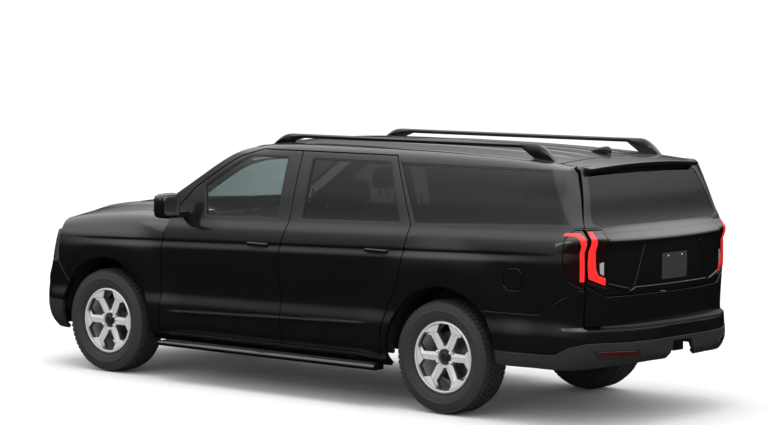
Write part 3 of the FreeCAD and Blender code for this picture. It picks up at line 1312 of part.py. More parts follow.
frame_side = v.frame_half + v.frame_width / 2 + v.seat_gap
front_span = (front_axle - 1.3 * v.arch_radius, front_axle + 1.3 * v.arch_radius)
rear_span = (rear_axle - 1.3 * v.arch_radius, rear_axle + 1.3 * v.arch_radius)
bumper_depth = v.nose_wall + 2 * v.shut_gap
front_panels = [wing_space(*front_span), side_wall(*front_span, -v.half_width, bumper_depth, wing_rows).common(
    prism_xz(grown(front_bumper_zone, half_gap), 0, 2 * outboard))]
rear_panels = [side_wall(*rear_span, -v.half_width, v.skin + v.seat_gap),
               side_wall(*rear_span, -v.half_width, bumper_depth).common(
                   prism_xz(grown(rear_bumper_zone, half_gap), 0, 2 * outboard))]
pair("front_liners", shape_object("front_liner", arch_liner(front_axle, frame_side, front_panels)))
pair("rear_liners", shape_object("rear_liner", arch_liner(rear_axle, v.cargo_half + v.seat_gap, rear_panels)))


# Chassis: two rails that rise over the rear axle, with cross members and outriggers
def frame_rail():
    top = v.frame_depth
    path = [(v.frame_front, v.frame_base), (v.kick_front, v.frame_base),
            (v.kick_front - v.kick_length, v.frame_kick), (v.kick_rear + v.kick_length, v.frame_kick),
            (v.kick_rear, v.frame_tail), (v.frame_rear, v.frame_tail)]
    return prism_xz(path + [(x, z + top) for x, z in reversed(path)], v.frame_half - v.frame_width / 2,
                    v.frame_half + v.frame_width / 2)


rail = shape_object("frame_rail", frame_rail())
members = [rail, mirror_of(rail, "frame_rail_mirror")]
quarter = c.frame_depth / 4
cross_places = [(c.frame_front - c.cross_width, c.frame_base), (c.engine_rear - c.cross_width * 2, c.frame_base),
                (c.row_first, c.frame_base), (c.kick_front + c.cross_width, c.frame_base),
                (c.kick_rear - c.cross_width, c.frame_tail), (c.frame_rear, c.frame_tail)]
for i, (x, base) in enumerate(cross_places):
    members.append(box(f"cross_member_{i}", x, -c.frame_half, base + quarter, c.cross_width, c.frame_half * 2,
                       c.frame_depth / 2 + quarter / 2))
mount_z = c.frame_base + quarter
for i, x in enumerate([c.floor_front - c.cross_width * 2, -c.cross_width / 2, c.kick_front + c.cross_width]):
    for y, pad in ((c.frame_half, c.outrigger_half - c.cross_width), (-c.outrigger_half, -c.outrigger_half)):
        members.append(box(f"outrigger_{len(members)}", x, y, mount_z, c.cross_width, c.outrigger_half - c.frame_half,
                           c.frame_depth / 2))
        members.append(box(f"body_mount_{len(members)}", x, pad, mount_z, c.cross_width, c.cross_width,
                           c.floor_height - c.seat_gap - mount_z))
cargo_z = c.frame_kick + c.frame_depth / 2
for y in (c.frame_half - c.frame_width / 2, -c.frame_half - c.frame_width / 2):
    members.append(box(f"cargo_mount_{len(members)}", c.kick_rear + c.kick_length, y, cargo_z, c.cross_width,
                       c.frame_width, c.cargo_height - c.seat_gap - cargo_z))
keep(fused("ladder_frame", members), "ladder_frame")


# Floor pan: cabin floor, step, cargo floor, firewall and the shelf under the cowl
def floor_pan():
    top = v.floor_height + v.floor_thick
    cabin = block(v.floor_step, v.floor_front, -v.floor_half, v.floor_half, v.floor_height, top)
    riser = block(v.floor_step - v.floor_thick, v.floor_step + v.floor_thick, -v.cargo_half, v.cargo_half,
                  v.floor_height, v.cargo_height + v.floor_thick)
    cargo = block(v.floor_rear, v.floor_step, -v.cargo_half, v.cargo_half, v.cargo_height,
                  v.cargo_height + v.floor_thick)
    firewall = block(v.floor_front - v.floor_thick, v.floor_front, -v.firewall_half, v.firewall_half,
                     v.floor_height, v.firewall_top + v.floor_thick)
    rear = v.floor_front - v.floor_thick
    front = [(screen_x(y, screen_low), y) for y in cowl_ys]
    shelf = prism_xy([(rear, -cowl_half)] + front + [(rear, cowl_half)], v.firewall_top,
                     cowl_top - v.cowl_depth - v.seat_gap)
    edge = side_wall(v.floor_step, v.floor_front, -v.half_width, v.door_thick + v.jamb_depth + v.seat_gap)
    cabin = cabin.cut([edge, mirrored(edge)])
    return main_solid(cabin.fuse([riser, cargo, firewall, shelf]))


node("floor_pan", floor_pan())

# Engine block on its mounts
pieces = [box("engine_block", c.engine_rear, -c.engine_width / 2, c.engine_base, c.engine_length, c.engine_width,
              c.engine_height)]
mount_z = c.frame_base + c.frame_depth + c.seat_gap
for y in (c.engine_width / 2 - c.overrun, -c.frame_half):
    pieces.append(box(f"engine_mount_{len(pieces)}", c.engine_rear + c.engine_length / 2, y, mount_z, c.mount_length,
                      c.frame_half - c.engine_width / 2 + c.overrun, c.mount_length))
keep(fused("engine", pieces), "engine")


# Tyres and wheels, turned about their own Y axis
def turned_ring(profile, count):
    """A ring of flat facets about the Y axis, from (radius, y) corners."""
    turn = 2 * math.pi / count
    profile = [(r / math.cos(turn / 2), y) for r, y in profile]
    faces = []
    for i in range(count):
        here, after = (i - 0.5) * turn, (i + 0.5) * turn
        for (r, y), (q, w) in zip(profile, profile[1:] + profile[:1]):
            faces.append(polygon([Vector(r * math.sin(here), y, r * math.cos(here)),
                                  Vector(r * math.sin(after), y, r * math.cos(after)),
                                  Vector(q * math.sin(after), w, q * math.cos(after)),
                                  Vector(q * math.sin(here), w, q * math.cos(here))]))
    shell = Part.makeShell(faces)
    shell.sewShape()
    solid = Part.makeSolid(shell)
    if solid.Volume < 0:
        solid.reverse()
    return solid


tyre_side = [(v.rim_radius, v.bead_half), (v.tyre_radius - 2 * v.shoulder_drop, v.tyre_width / 2),
             (v.tyre_radius - v.shoulder_drop / 2, v.tyre_width / 2 - v.shoulder_drop / 6), (v.tyre_radius, v.tread_half)]
tyre_sides = 48
tyre_ring = turned_ring(tyre_side + [(r, -y) for r, y in reversed(tyre_side)], tyre_sides)


def wheel_body(label):
    """Rim barrel and sunk face in one turned piece with six windows."""
    body = doc.addObject("PartDesign::Body", label)
    seat = c.rim_radius - c.seat_gap
    barrel = seat - c.rim_wall
    middle = c.rim_half - c.hub_sink
    section = [(0, middle), (barrel, middle), (barrel, c.rim_half), (seat, c.rim_half), (seat, -c.rim_half),
               (barrel, -c.rim_half), (barrel, middle - c.spoke_depth), (0, middle - c.spoke_depth)]
    revolved(body, label + "_rim", outline_sketch(body, label + "_section", "XY_Plane", section))
    side = [(c.window_narrow, c.window_inner), (c.window_wide, c.window_middle), (c.window_end, c.window_outer)]
    outline = outline_sketch(body, label + "_outline", "XZ_Plane", side + [(-x, z) for x, z in reversed(side)])
    repeated(body, label + "_windows", pocketed(body, label + "_window", outline), "Y_Axis", 6)
    return body


wheel_face = v.rim_half - v.hub_sink
disc_face = wheel_face - v.spoke_depth - v.disc_back
hub_inner = disc_face - v.disc_thick
sunk = v.shut_gap


def wheel_fittings():
    """Six nuts and a cap on the wheel's middle, and the brake disc behind it."""
    pieces = []
    for x, z in ring_points(v.lug_circle, 0, 0, 6):
        pieces.append(prism_xz(ring_points(v.lug_radius, x, z, 6), wheel_face - sunk, wheel_face + v.lug_length))
    pieces.append(prism_xz(ring_points(v.hub_cap, 0, 0, 12), wheel_face - sunk, wheel_face + v.hub_cap_rise))
    hat = prism_xz(ring_points(v.hub_radius, 0, 0, 12), disc_face - sunk, wheel_face - v.spoke_depth + sunk)
    disc = prism_xz(ring_points(v.disc_radius, 0, 0, 24), hub_inner, disc_face)
    return Part.makeCompound(pieces + [main_solid(hat.fuse(disc))])


fittings = shape_object("wheel_fittings", wheel_fittings())
for axle, where in ((c.front_axle, "front"), (c.rear_axle, "rear")):
    for side, name in SIDES:
        turn = FreeCAD.Rotation(Vector(0, 0, 1), 0 if side == LEFT else 180)
        tyre = shape_object(f"tyre_{where}_{name}", tyre_ring)
        wheel = fused(f"wheel_{where}_{name}", [wheel_body(f"rim_{where}_{name}"), fittings])
        for piece in (tyre, wheel):
            piece.Placement.Rotation = turn
            bind(piece, Placement__Base__x=axle, Placement__Base__y=c.track_half * side,
                 Placement__Base__z=c.tyre_radius)
        keep(wheel, f"wheel_{where}_{name}")
        keep(tyre, f"tyre_{where}_{name}")

# Front suspension: two arms to each steered upright
hub_y = v.track_half + hub_inner - v.seat_gap
lower_joint, upper_joint = v.tyre_radius - v.upright_drop, v.tyre_radius + v.upright_rise
post_half, post_thin = v.upright_width / 2, v.upright_thick / 2


def knuckle():
    """Upright with its stub flange and brake caliper."""
    post = block(front_axle - post_half, front_axle + post_half, v.kingpin_half - post_thin,
                 v.kingpin_half + post_thin, lower_joint + v.seat_gap, upper_joint - v.seat_gap)
    flange = prism_xz(ring_points(v.flange_radius, front_axle, v.tyre_radius, 8), v.kingpin_half, hub_y)
    near, far = front_axle - v.caliper_back, front_axle - v.caliper_back + v.caliper_width
    caliper = block(near, far, v.kingpin_half - post_thin, hub_y, v.tyre_radius - v.caliper_height / 2,
                    v.tyre_radius + v.caliper_height / 2)
    link = block(far - post_thin, front_axle, v.kingpin_half - post_thin, v.kingpin_half + post_thin,
                 v.tyre_radius - post_half, v.tyre_radius + post_half)
    return main_solid(post.fuse([flange, caliper, link]))


both_sides("knuckle", knuckle())


def suspension_arms():
    """A wishbone below and one above, joined by their tower on the chassis rail."""
    reach = v.kingpin_half + post_thin
    plan = [(front_axle - v.arm_width / 2, reach), (front_axle - 2 * v.arm_width, frame_side),
            (front_axle + 2 * v.arm_width, frame_side), (front_axle + v.arm_width / 2, reach)]
    pieces = [prism_xy(plan, lower_joint - v.arm_thick, lower_joint), prism_xy(plan, upper_joint, upper_joint + v.arm_thick)]
    tower = block(front_axle - v.arm_width, front_axle + v.arm_width, frame_side, frame_side + v.arm_width,
                  lower_joint - v.arm_thick, upper_joint + v.arm_thick)
    return main_solid(tower.fuse(pieces))


pair("front_suspension", shape_object("suspension_side", suspension_arms()))


# Rear axle with springs under the chassis rails
def rear_axle_beam():
    z = v.tyre_radius
    tube = prism_xz(ring_points(v.axle_tube, rear_axle, z, 10), -hub_y, hub_y)
    pieces = [prism_xz(ring_points(v.axle_case, rear_axle, z, 12), -v.axle_case, v.axle_case)]
    for side, _ in SIDES:
        flange = prism_xz(ring_points(v.flange_radius, rear_axle, z, 8), hub_y - v.upright_thick, hub_y)
        spring = prism_xy(ring_points(v.spring_radius, rear_axle, v.frame_half, 10), z, v.frame_kick - v.seat_gap)
        pieces += [handed(flange, side), handed(spring, side)]
    return main_solid(tube.fuse(pieces))


node("rear_axle", rear_axle_beam())


# Seats: cushion on a plinth, leaning back, head restraint
def seat(name, x, y, width, floor, base):
    cushion_z = floor + base - c.seat_cushion
    rear = x - c.seat_depth / 2
    parts = [box(name + "_cushion", rear, y - width / 2, cushion_z, c.seat_depth, width, c.seat_cushion),
             box(name + "_plinth", x - c.seat_depth / 3, y - width / 3, floor + c.seat_gap, c.seat_depth * 0.7,
                 width * 0.7, base - c.seat_cushion / 2)]
    foot_x, foot_z, middle, half = rear.value, cushion_z.value, y.value, width.value / 2

    def leaning(low, high, thick, spread):
        back, top = foot_x - seat_lean_share * low, foot_x - seat_lean_share * high
        side = [(back, foot_z + low), (back + thick, foot_z + low), (top + thick, foot_z + high), (top, foot_z + high)]
        return prism_xz(side, middle - spread, middle + spread)

    head_low = v.seat_back + v.head_gap
    back = leaning(0, v.seat_back, v.seat_back_thick, half)
    head = leaning(head_low, head_low + v.head_height, v.head_thick, v.head_width / 2)
    post = leaning(v.seat_back - v.head_gap, head_low + v.head_gap, v.post_thick, v.post_width / 2)
    post.translate(Vector(v.head_thick / 3, 0, 0))
    parts.append(shape_object(name + "_back", back.fuse([head, post])))
    return fused(name, parts)


cabin_floor, cargo_floor = c.floor_height + c.floor_thick, c.cargo_height + c.floor_thick
pair("front_seats", seat("front_seat", c.row_first, c.seat_half, c.seat_width, cabin_floor, c.seat_base))
pair("second_row_seats", seat("second_seat", c.row_second, c.seat_half, c.seat_width, cabin_floor, c.seat_base))
third_row = seat("third_row_seat", c.rear_axle, c.seat_half * 0, c.bench_width, cargo_floor, c.bench_base)
keep(third_row, "third_row_seat")


# Dashboard with the steering wheel and column
dash_shares = [(1.0, 0.48), (1.0, 0.637), (0.4, 0.645), (0.0, 0.62), (0.0, 0.53), (0.3, 0.47)]


def dashboard():
    rear, front = v.dash_rear, v.floor_front - v.floor_thick - v.seat_gap
    dash = prism_xz([(rear + x * (front - rear), level(z)) for x, z in dash_shares], -v.dash_half, v.dash_half)
    end, drop = rear + v.overrun, (rear + v.overrun - v.steer_x) * column_slope_share
    half, thin = v.column_half, v.steer_rim / 2
    column = prism_xz([(v.steer_x, v.steer_z - half), (end, v.steer_z - half - drop), (end, v.steer_z + half - drop),
                       (v.steer_x, v.steer_z + half)], v.seat_half - half, v.seat_half + half)
    rim = prism_yz(ring_points(v.steer_radius, v.seat_half, v.steer_z, 12), v.steer_x - thin, v.steer_x + thin)
    hole = ring_points(v.steer_radius - v.steer_rim, v.seat_half, v.steer_z, 12)
    spoke = block(v.steer_x - thin, v.steer_x + thin, v.seat_half - v.steer_radius + 2 * thin,
                  v.seat_half + v.steer_radius - 2 * thin, v.steer_z - half, v.steer_z + half)
    rim = rim.cut(prism_yz(hole, v.steer_x - v.steer_rim, v.steer_x + v.steer_rim))
    return main_solid(dash.fuse([column, rim, spoke]))


node("dashboard", dashboard())

# Hitch receiver: a square tube with a cross hole for its pin
receiver = doc.addObject("PartDesign::Body", "hitch_receiver")
half, bore = c.receiver_size / 2, c.receiver_size / 2 - c.receiver_wall


def square(size):
    return [(-size, c.receiver_height - size), (size, c.receiver_height - size), (size, c.receiver_height + size),
            (-size, c.receiver_height + size)]


outline = outline_sketch(receiver, "receiver_outline", "YZ_Plane", square(half))
bind(outline, AttachmentOffset__Base__z=c.frame_rear - c.seat_gap)
tube = receiver.newObject("PartDesign::Pad", "receiver_tube")
tube.Profile = outline
tube.Reversed = True
bind(tube, Length=c.frame_rear - c.seat_gap - c.receiver_mouth)
pocketed(receiver, "receiver_socket", outline_sketch(receiver, "receiver_bore", "YZ_Plane", square(bore)))
pin = receiver.newObject("Sketcher::SketchObject", "receiver_pin")
pin.AttachmentSupport = [(plane(receiver, "XZ_Plane"), "")]
pin.MapMode = "FlatFace"
pin_x, pin_z = c.receiver_mouth + c.pin_inset, c.receiver_height
pin.addGeometry(Part.Circle(Vector(pin_x.value, pin_z.value, 0), Vector(0, 0, 1), v.pin_radius))
for kind, size in (("Radius", c.pin_radius), ("DistanceX", pin_x), ("DistanceY", pin_z)):
    rule = (0, size.value) if kind == "Radius" else (-1, 1, 0, 3, size.value)
    pin.setExpression(f"Constraints[{pin.addConstraint(Sketcher.Constraint(kind, *rule))}]", size.text)
pocketed(receiver, "receiver_pin_hole", pin)
keep(receiver, "hitch_receiver")

doc.recompute()
for feature in doc.Objects:
    if "Invalid" in feature.State or "Error" in feature.State:
        raise RuntimeError(f"{feature.Label} failed")
os.makedirs("parts", exist_ok=True)
for feature in PARTS:
    if feature.Shape.isNull() or not feature.Shape.isValid():
        raise RuntimeError(f"{feature.Label} has no valid shape")
for feature in PARTS:
    feature.Shape.exportStep(f"parts/{feature.Label}.step")
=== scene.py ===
"""Full-size utility vehicle with a long wheelbase, dressed on its CAD frame."""
import math
import bmesh
import bpy
import numpy as np
from bpy.props import FloatProperty, FloatVectorProperty, PointerProperty
from mathutils import Matrix, Vector
from mathutils.geometry import delaunay_2d_cdt


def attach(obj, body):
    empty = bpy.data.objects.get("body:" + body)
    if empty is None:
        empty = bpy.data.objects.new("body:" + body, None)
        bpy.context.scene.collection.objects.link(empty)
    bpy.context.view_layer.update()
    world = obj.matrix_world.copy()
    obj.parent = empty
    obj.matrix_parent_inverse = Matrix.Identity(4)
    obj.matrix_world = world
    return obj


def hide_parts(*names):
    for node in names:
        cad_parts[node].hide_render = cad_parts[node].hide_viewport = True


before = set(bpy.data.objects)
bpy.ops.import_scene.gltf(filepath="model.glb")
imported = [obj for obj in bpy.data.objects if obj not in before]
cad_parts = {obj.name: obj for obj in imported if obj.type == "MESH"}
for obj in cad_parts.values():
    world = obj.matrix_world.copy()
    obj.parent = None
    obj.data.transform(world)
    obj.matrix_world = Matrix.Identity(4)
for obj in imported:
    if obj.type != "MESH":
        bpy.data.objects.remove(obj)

bl_info = {
    "name": "Long utility vehicle",
    "version": (1, 0, 0),
    "blender": (4, 5, 0),
    "location": "View3D > Sidebar > Vehicle",
    "description": "Body, gates, glass, lamps, wheels and cabin of a long utility vehicle",
    "category": "Object",
}

HALF, TOP, FRONT = 1.015, 1.880, 2.818
REAR_AXLE, FRONT_AXLE, TYRE = -1.450, 1.893, 0.405
CORNER, CORNER_RUN, END_RUN = 0.852 * FRONT, 0.30, 0.80
MIDDLE = CORNER + CORNER_RUN + END_RUN
ARCH = 0.5       # radius of a wheel arch's opening
GAP = 0.0035     # half of the gap between two panels
TRACK = 0.856    # centre line to the middle of a wheel
LAP = 0.014      # belt to the lower edge of a side window
INSET = 0.0005   # clearance of a pane or lens in its opening

# Sections of the body side from the sill to the glass, then up to the roof's edge
SIDE_HEIGHT = np.array([0.159, 0.19, 0.24, 0.311, 0.372, 0.45, 0.553, 0.596, 0.64, 0.683, 0.80,
                        0.93]) * TOP
SIDE_WIDTH = np.array([0.89, 0.938, 0.964, 0.967, 0.951, 0.962, 0.975, 0.966, 0.950, 0.920, 0.862,
                       0.786]) * HALF
SIDE_CLIMB = np.array([0, 0, 0, 0.012, 0.018, 0.022, 0.03, 0.03, 0.028, 0.026, 0.012, 0])
CANT_RISE, CANT_WIDTH = np.array([0.5, 0.85, 1.0]), np.array([0.765, 0.728, 0.67]) * HALF
WING_RISE = np.array([0, 0.35, 0.65, 0.86, 1])
WING_WIDTH = np.array([0.966, 0.945, 0.918, 0.877, 0.77]) * HALF
PLAN_STATION = np.array([-0.90, -0.85, -0.60, 0, 0.55, 0.72, 0.82, 0.88, 0.92]) * FRONT
PLAN_WIDTH = np.array([0.985, 1, 1, 1, 1, 0.993, 0.98, 0.962, 0.94])
BONNET_STATION = np.array([0.42, 0.57, 0.71, 0.82, 0.90, 0.95, 0.975]) * FRONT
BONNET_EDGE = np.array([0.680, 0.679, 0.668, 0.647, 0.619, 0.590, 0.565]) * TOP
ROOF_STATION = np.array([-0.90, -0.84, -0.72, -0.60, -0.40, -0.07, 0.035, 0.106, 0.177, 0.213]) * FRONT
ROOF_LINE = np.array([0.950, 0.961, 0.978, 0.988, 0.996, 1, 0.9989, 0.9936, 0.9814, 0.9713]) * TOP
SCREEN_HEIGHT = np.array([0.60, 0.690, 0.771, 0.835, 0.904, 0.936, 0.957, 0.971, 0.979, 1]) * TOP
SCREEN_STATION = np.array([0.635, 0.572, 0.480, 0.409, 0.331, 0.287, 0.247, 0.213, 0.185, 0.12]) * FRONT
NOSE_HEIGHT = np.array([0.13, 0.17, 0.21, 0.27, 0.36, 0.42, 0.50, 0.60, 0.64]) * TOP
NOSE_BACK = np.array([0.045, 0.025, 0.008, 0, 0, 0.012, 0.026, 0.046, 0.060]) * FRONT
TAIL_HEIGHT = np.array([0.21, 0.24, 0.29, 0.35, 0.371, 0.45, 0.56, 0.665, 0.685, 0.705, 0.73, 0.84,
                        0.95]) * TOP
TAIL_BACK = np.array([0.042, 0.030, 0.026, 0.028, 0.030, 0.029, 0.026, 0.027, 0.032, 0.049, 0.068,
                      0.097, 0.130])
TAIL_BACK = TAIL_BACK * FRONT
ROUND_HALF = np.array([0, 0.25, 0.45, 0.62, 0.77, 0.857, 0.916]) * HALF
ROUND_BACK = np.array([0, 0.003, 0.011, 0.024, 0.042, 0.055, 0.077]) * FRONT
CREASE, BELT = 7, 9


# Curves and surfaces of the body. Points are rows of x, y, z in metres.

def smooth(xs, ys, x):
    """The curve through the points that never overshoots; xs and ys may hold a row for each x."""
    x = np.atleast_1d(np.asarray(x, float))
    xs = np.broadcast_to(xs, x.shape + (np.shape(xs)[-1],))
    ys = np.broadcast_to(ys, x.shape + (np.shape(ys)[-1],))
    x = np.clip(x, xs[:, 0], xs[:, -1])
    secant = np.diff(ys) / np.maximum(np.diff(xs), 1e-9)
    before, after = secant[:, :-1], secant[:, 1:]
    total = np.where(np.abs(before + after) < 1e-12, 1, before + after)
    inner = np.where(before * after > 0, 2 * before * after / total, 0)
    slopes = np.concatenate([secant[:, :1], inner, secant[:, -1:]], 1)
    i = np.clip((xs <= x[:, None]).sum(1) - 1, 0, xs.shape[1] - 2)
    row = np.arange(len(x))
    step = xs[row, i + 1] - xs[row, i]
    t = (x - xs[row, i]) / step
    return ((1 + 2 * t) * (1 - t) ** 2 * ys[row, i] + t * (1 - t) ** 2 * step * slopes[row, i]
            + t * t * (3 - 2 * t) * ys[row, i + 1] + t * t * (t - 1) * step * slopes[row, i + 1])


def level(share):
    """Height from a share of the roof's height."""
    return share * TOP


def plan_factor(x):
    """How far the body tapers in plan towards its ends."""
    return smooth(PLAN_STATION, PLAN_WIDTH, x)


def flare(x, z):
    """How far the wheel arches stand out of the side."""
    out = np.zeros(len(x))
    for axle in (FRONT_AXLE, REAR_AXLE):
        t = np.clip((0.860 - np.hypot(x - axle, z - TYRE)) / 0.285, 0, 1)
        out = np.maximum(out, 0.025 * t * t * (3 - 2 * t))
    return out


def bonnet_edge(x):
    return smooth(BONNET_STATION, BONNET_EDGE, x)


def roof_edge(x):
    return smooth(ROOF_STATION, ROOF_LINE, x) - level(0.016)


def section(x, wing):
    """Heights and half widths of the body's section at each x."""
    x = np.atleast_1d(x)
    heights = SIDE_HEIGHT - SIDE_CLIMB * x[:, None]
    if wing:
        crease = heights[:, CREASE:CREASE + 1]
        upper = crease + WING_RISE * (bonnet_edge(x)[:, None] - crease)
        widths = np.concatenate([SIDE_WIDTH[:CREASE], WING_WIDTH])
        return np.hstack([heights[:, :CREASE], upper]), widths
    glass = heights[:, -1:]
    rise = np.maximum(roof_edge(x)[:, None] - glass, level(0.016))
    return np.hstack([heights, glass + CANT_RISE * rise]), np.concatenate([SIDE_WIDTH, CANT_WIDTH])


def knots(wing):
    """Distances along the section at its given points."""
    heights, widths = section(np.array([2.0 if wing else 0.0]), wing)
    return np.concatenate([[0], np.cumsum(np.hypot(np.diff(heights[0]), np.diff(widths)))])


KNOTS = {False: knots(False), True: knots(True)}


def lift(x, run, wing=False):
    """Height of a point by its distance along the section."""
    return smooth(KNOTS[wing], section(x, wing)[0], run)


def ripple(x, z, wing):
    """Small relief: the pressed crease, the ledge at the belt and the strip low on the doors."""
    heights = section(x, wing)[0]
    crease = heights[:, CREASE] + 0.004
    fade = np.clip((x + 2.45) / 0.5, 0, 1) * np.clip((2.35 - x) / 0.5, 0, 1)
    under = np.clip((crease - z) / 0.020, 0, 1) * np.clip((z - crease + 0.075) / 0.055, 0, 1)
    relief = -0.0065 * fade * under * under * (3 - 2 * under)
    strip = 0.563 - 0.032 * x
    low = np.clip(1 - np.abs(z - strip) / 0.022, 0, 1)
    span = np.clip((1.24 - x) / 0.12, 0, 1) * np.clip((x + 0.80) / 0.12, 0, 1)
    relief += 0.005 * span * low * low * (3 - 2 * low)
    return relief


def half_width(x, z, wing=False):
    heights, widths = section(x, wing)
    return smooth(heights, widths, z) * plan_factor(x) + flare(x, z) + ripple(x, z, wing)


def side(x, run, wing=False):
    """The body side; the wing's fades into the door's section behind the arch."""
    z = lift(x, run, wing)
    y = half_width(x, z, wing)
    if wing:
        blend = np.clip((x - 1.285) / 0.30, 0, 1)
        door_y = half_width(x, z)
        y = door_y + (y - door_y) * np.where(z < 1.2,
                                             np.maximum(blend, np.clip((z - 1.13) / 0.07, 0, 1)), 1)
    return np.stack([x, y, z], 1)


def run_at(points, wing=False):
    """Side view outline points (x, z) as (x, distance along the section)."""
    samples = np.linspace(0, KNOTS[wing][-1], 600)
    out = []
    for x, z in points:
        heights = lift(np.full(600, max(x, -CORNER)), samples, wing)
        out.append((x, float(np.interp(z, heights, samples))))
    return out


def bonnet_half(x):
    return 0.77 * HALF * plan_factor(x)


def bonnet(x, y):
    """The bonnet's crowned surface with its two ridges."""
    rise = bonnet_edge(x) + level(0.036) * (1 - (y / bonnet_half(x)) ** 2)
    line = 0.52 - 0.055 * (x - 1.4)
    ridge = np.clip(1 - np.abs(np.abs(y) - line) / 0.10, 0, 1)
    fade = np.clip((x - 1.45) / 0.3, 0, 1) * np.clip((2.69 - x) / 0.35, 0, 1)
    rise = rise + bpy.context.scene.vehicle_sizes.bonnet_ridge * ridge * ridge * (3 - 2 * ridge) * fade
    return np.stack([x, y, rise], 1)


def roof_half(x):
    return 0.67 * HALF * plan_factor(x)


def roof(x, y):
    """The roof's crowned surface with its ribs at the rear."""
    z = roof_edge(x) + level(0.016) * (1 - (y / roof_half(x)) ** 2)
    span = np.clip((-0.35 - x) / 0.25, 0, 1) * np.clip((x + 2.20) / 0.12, 0, 1)
    for centre in (-0.42, -0.22, 0, 0.22, 0.42):
        t = np.clip(1 - np.abs(y - centre) / 0.035, 0, 1)
        z = z + bpy.context.scene.vehicle_sizes.roof_rib * span * t * t * (3 - 2 * t)
    return np.stack([x, y, z], 1)


def screen(y, z):
    """The windscreen's surface."""
    return np.stack([smooth(SCREEN_HEIGHT, SCREEN_STATION, z) - y * y / 4.6, y, z], 1)


def end_back(y):
    """How far nose and tail curve back towards the corners."""
    return smooth(ROUND_HALF, ROUND_BACK, np.abs(y))


def nose_x(y, z):
    return FRONT - smooth(NOSE_HEIGHT, NOSE_BACK, z) - end_back(y)


def tail_x(y, z):
    """The tail, with the shelf under the rear glass."""
    flat = smooth(np.array([0.64, 0.685, 0.73]) * TOP, np.array([1, 0.7, 0.3]), z)
    shelf = np.clip(1 - np.abs(z - 1.275) / 0.030, 0, 1)
    shelf = shelf * shelf * (3 - 2 * shelf) * np.clip((0.70 - np.abs(y)) / 0.02, 0, 1)
    return -FRONT + smooth(TAIL_HEIGHT, TAIL_BACK, z) + flat * end_back(y) - 0.010 * shelf


def bumper_x(y, z):
    """The tail with the rear bumper's step standing out of it."""
    fade = smooth(np.array([0.55, 0.95]) * HALF, np.array([1.0, 0]), np.abs(y))
    rise = smooth(np.array([0.676, 0.690]), np.array([1.0, 0]), z)
    foot = smooth(np.array([0.400, 0.488]), np.array([0.5, 1.0]), z)
    return np.maximum(-FRONT, tail_x(y, z) - 0.088 * fade * rise * foot)


def corner_controls(end, way, z, wing):
    """Control points of the plan curve round a corner, one row for each height."""
    x = np.full(len(z), way * CORNER)
    edge = np.stack([x, half_width(x, z, wing)], 1)
    before = np.stack([x - way * 0.04, half_width(x - way * 0.04, z, wing)], 1)
    half = 0.83 * edge[:, 1]
    tip = np.stack([end(half, z), half], 1)
    beyond = np.stack([end(half - 0.04, z), half - 0.04], 1)
    side_way, end_way, gap = edge - before, beyond - tip, tip - edge
    turn = side_way[:, 0] * end_way[:, 1] - side_way[:, 1] * end_way[:, 0]
    reach = (gap[:, 0] * end_way[:, 1] - gap[:, 1] * end_way[:, 0]) / turn
    meet = edge + side_way * reach[:, None]
    return edge, edge + (meet - edge) * 0.6, tip + (meet - tip) * 0.6, tip


def wrap(end, way, wing=False):
    """A surface that runs along the side, round the corner and across the nose or tail."""
    def surface(run, up):
        run, up = np.atleast_1d(run), np.atleast_1d(up)
        hand = np.where(run > MIDDLE, -1, 1)
        run = np.where(run > MIDDLE, 2 * MIDDLE - run, run)
        z = lift(np.clip(way * run, -CORNER, CORNER), up, wing)
        points = side(way * np.minimum(run, CORNER), up, wing)
        points[:, 2] = z
        a, b, c, d = corner_controls(end, way, z, wing)
        t = np.clip((run - CORNER) / CORNER_RUN, 0, 1)[:, None]
        curve = a * (1 - t) ** 3 + b * (3 * t * (1 - t) ** 2) + c * (3 * t * t * (1 - t)) + d * t ** 3
        turned = run > CORNER
        points[turned, :2] = curve[turned]
        share = np.clip((run - CORNER - CORNER_RUN) / END_RUN, 0, 1)
        y = d[:, 1] * (1 - share)
        last = run > CORNER + CORNER_RUN
        points[last, 0], points[last, 1] = end(y, z)[last], y[last]
        points[:, 1] *= hand
        return points
    return surface


def unroll(points, end, way, wing=False, rear=False):
    """Outline points, (x, z) in the side view or (y, z) in the rear view, on a wrapped surface."""
    surface = wrap(end, way, wing)
    samples = np.linspace(0, KNOTS[wing][-1], 500)
    reach, count = (MIDDLE, 500) if rear else (CORNER + CORNER_RUN, 300)
    steps = np.linspace(CORNER - 0.02, reach, count)
    out = []
    for u, z in points:
        flat = CORNER if rear else max(-CORNER, min(CORNER, u))
        heights = lift(np.full(500, way * CORNER if rear else flat), samples, wing)
        up = float(np.interp(z, heights, samples))
        if not rear and way * u <= CORNER:
            out.append((way * u, up))
            continue
        curve = surface(steps, np.full(len(steps), up))
        if rear:
            run = float(np.interp(abs(u), curve[::-1, 1], steps[::-1]))
            out.append((run if u >= 0 else 2 * MIDDLE - run, up))
        else:
            out.append((float(np.interp(way * u, way * curve[:, 0], steps)), up))
    return out


# Outlines as closed loops of points in a plane

def dense(points, step=0.014):
    """The loop with no two points further apart than the step."""
    out = []
    for a, b in zip(points, points[1:] + points[:1]):
        count = max(1, math.ceil(math.dist(a, b) / step))
        out += [(a[0] + (b[0] - a[0]) * i / count, a[1] + (b[1] - a[1]) * i / count)
                for i in range(count)]
    return out


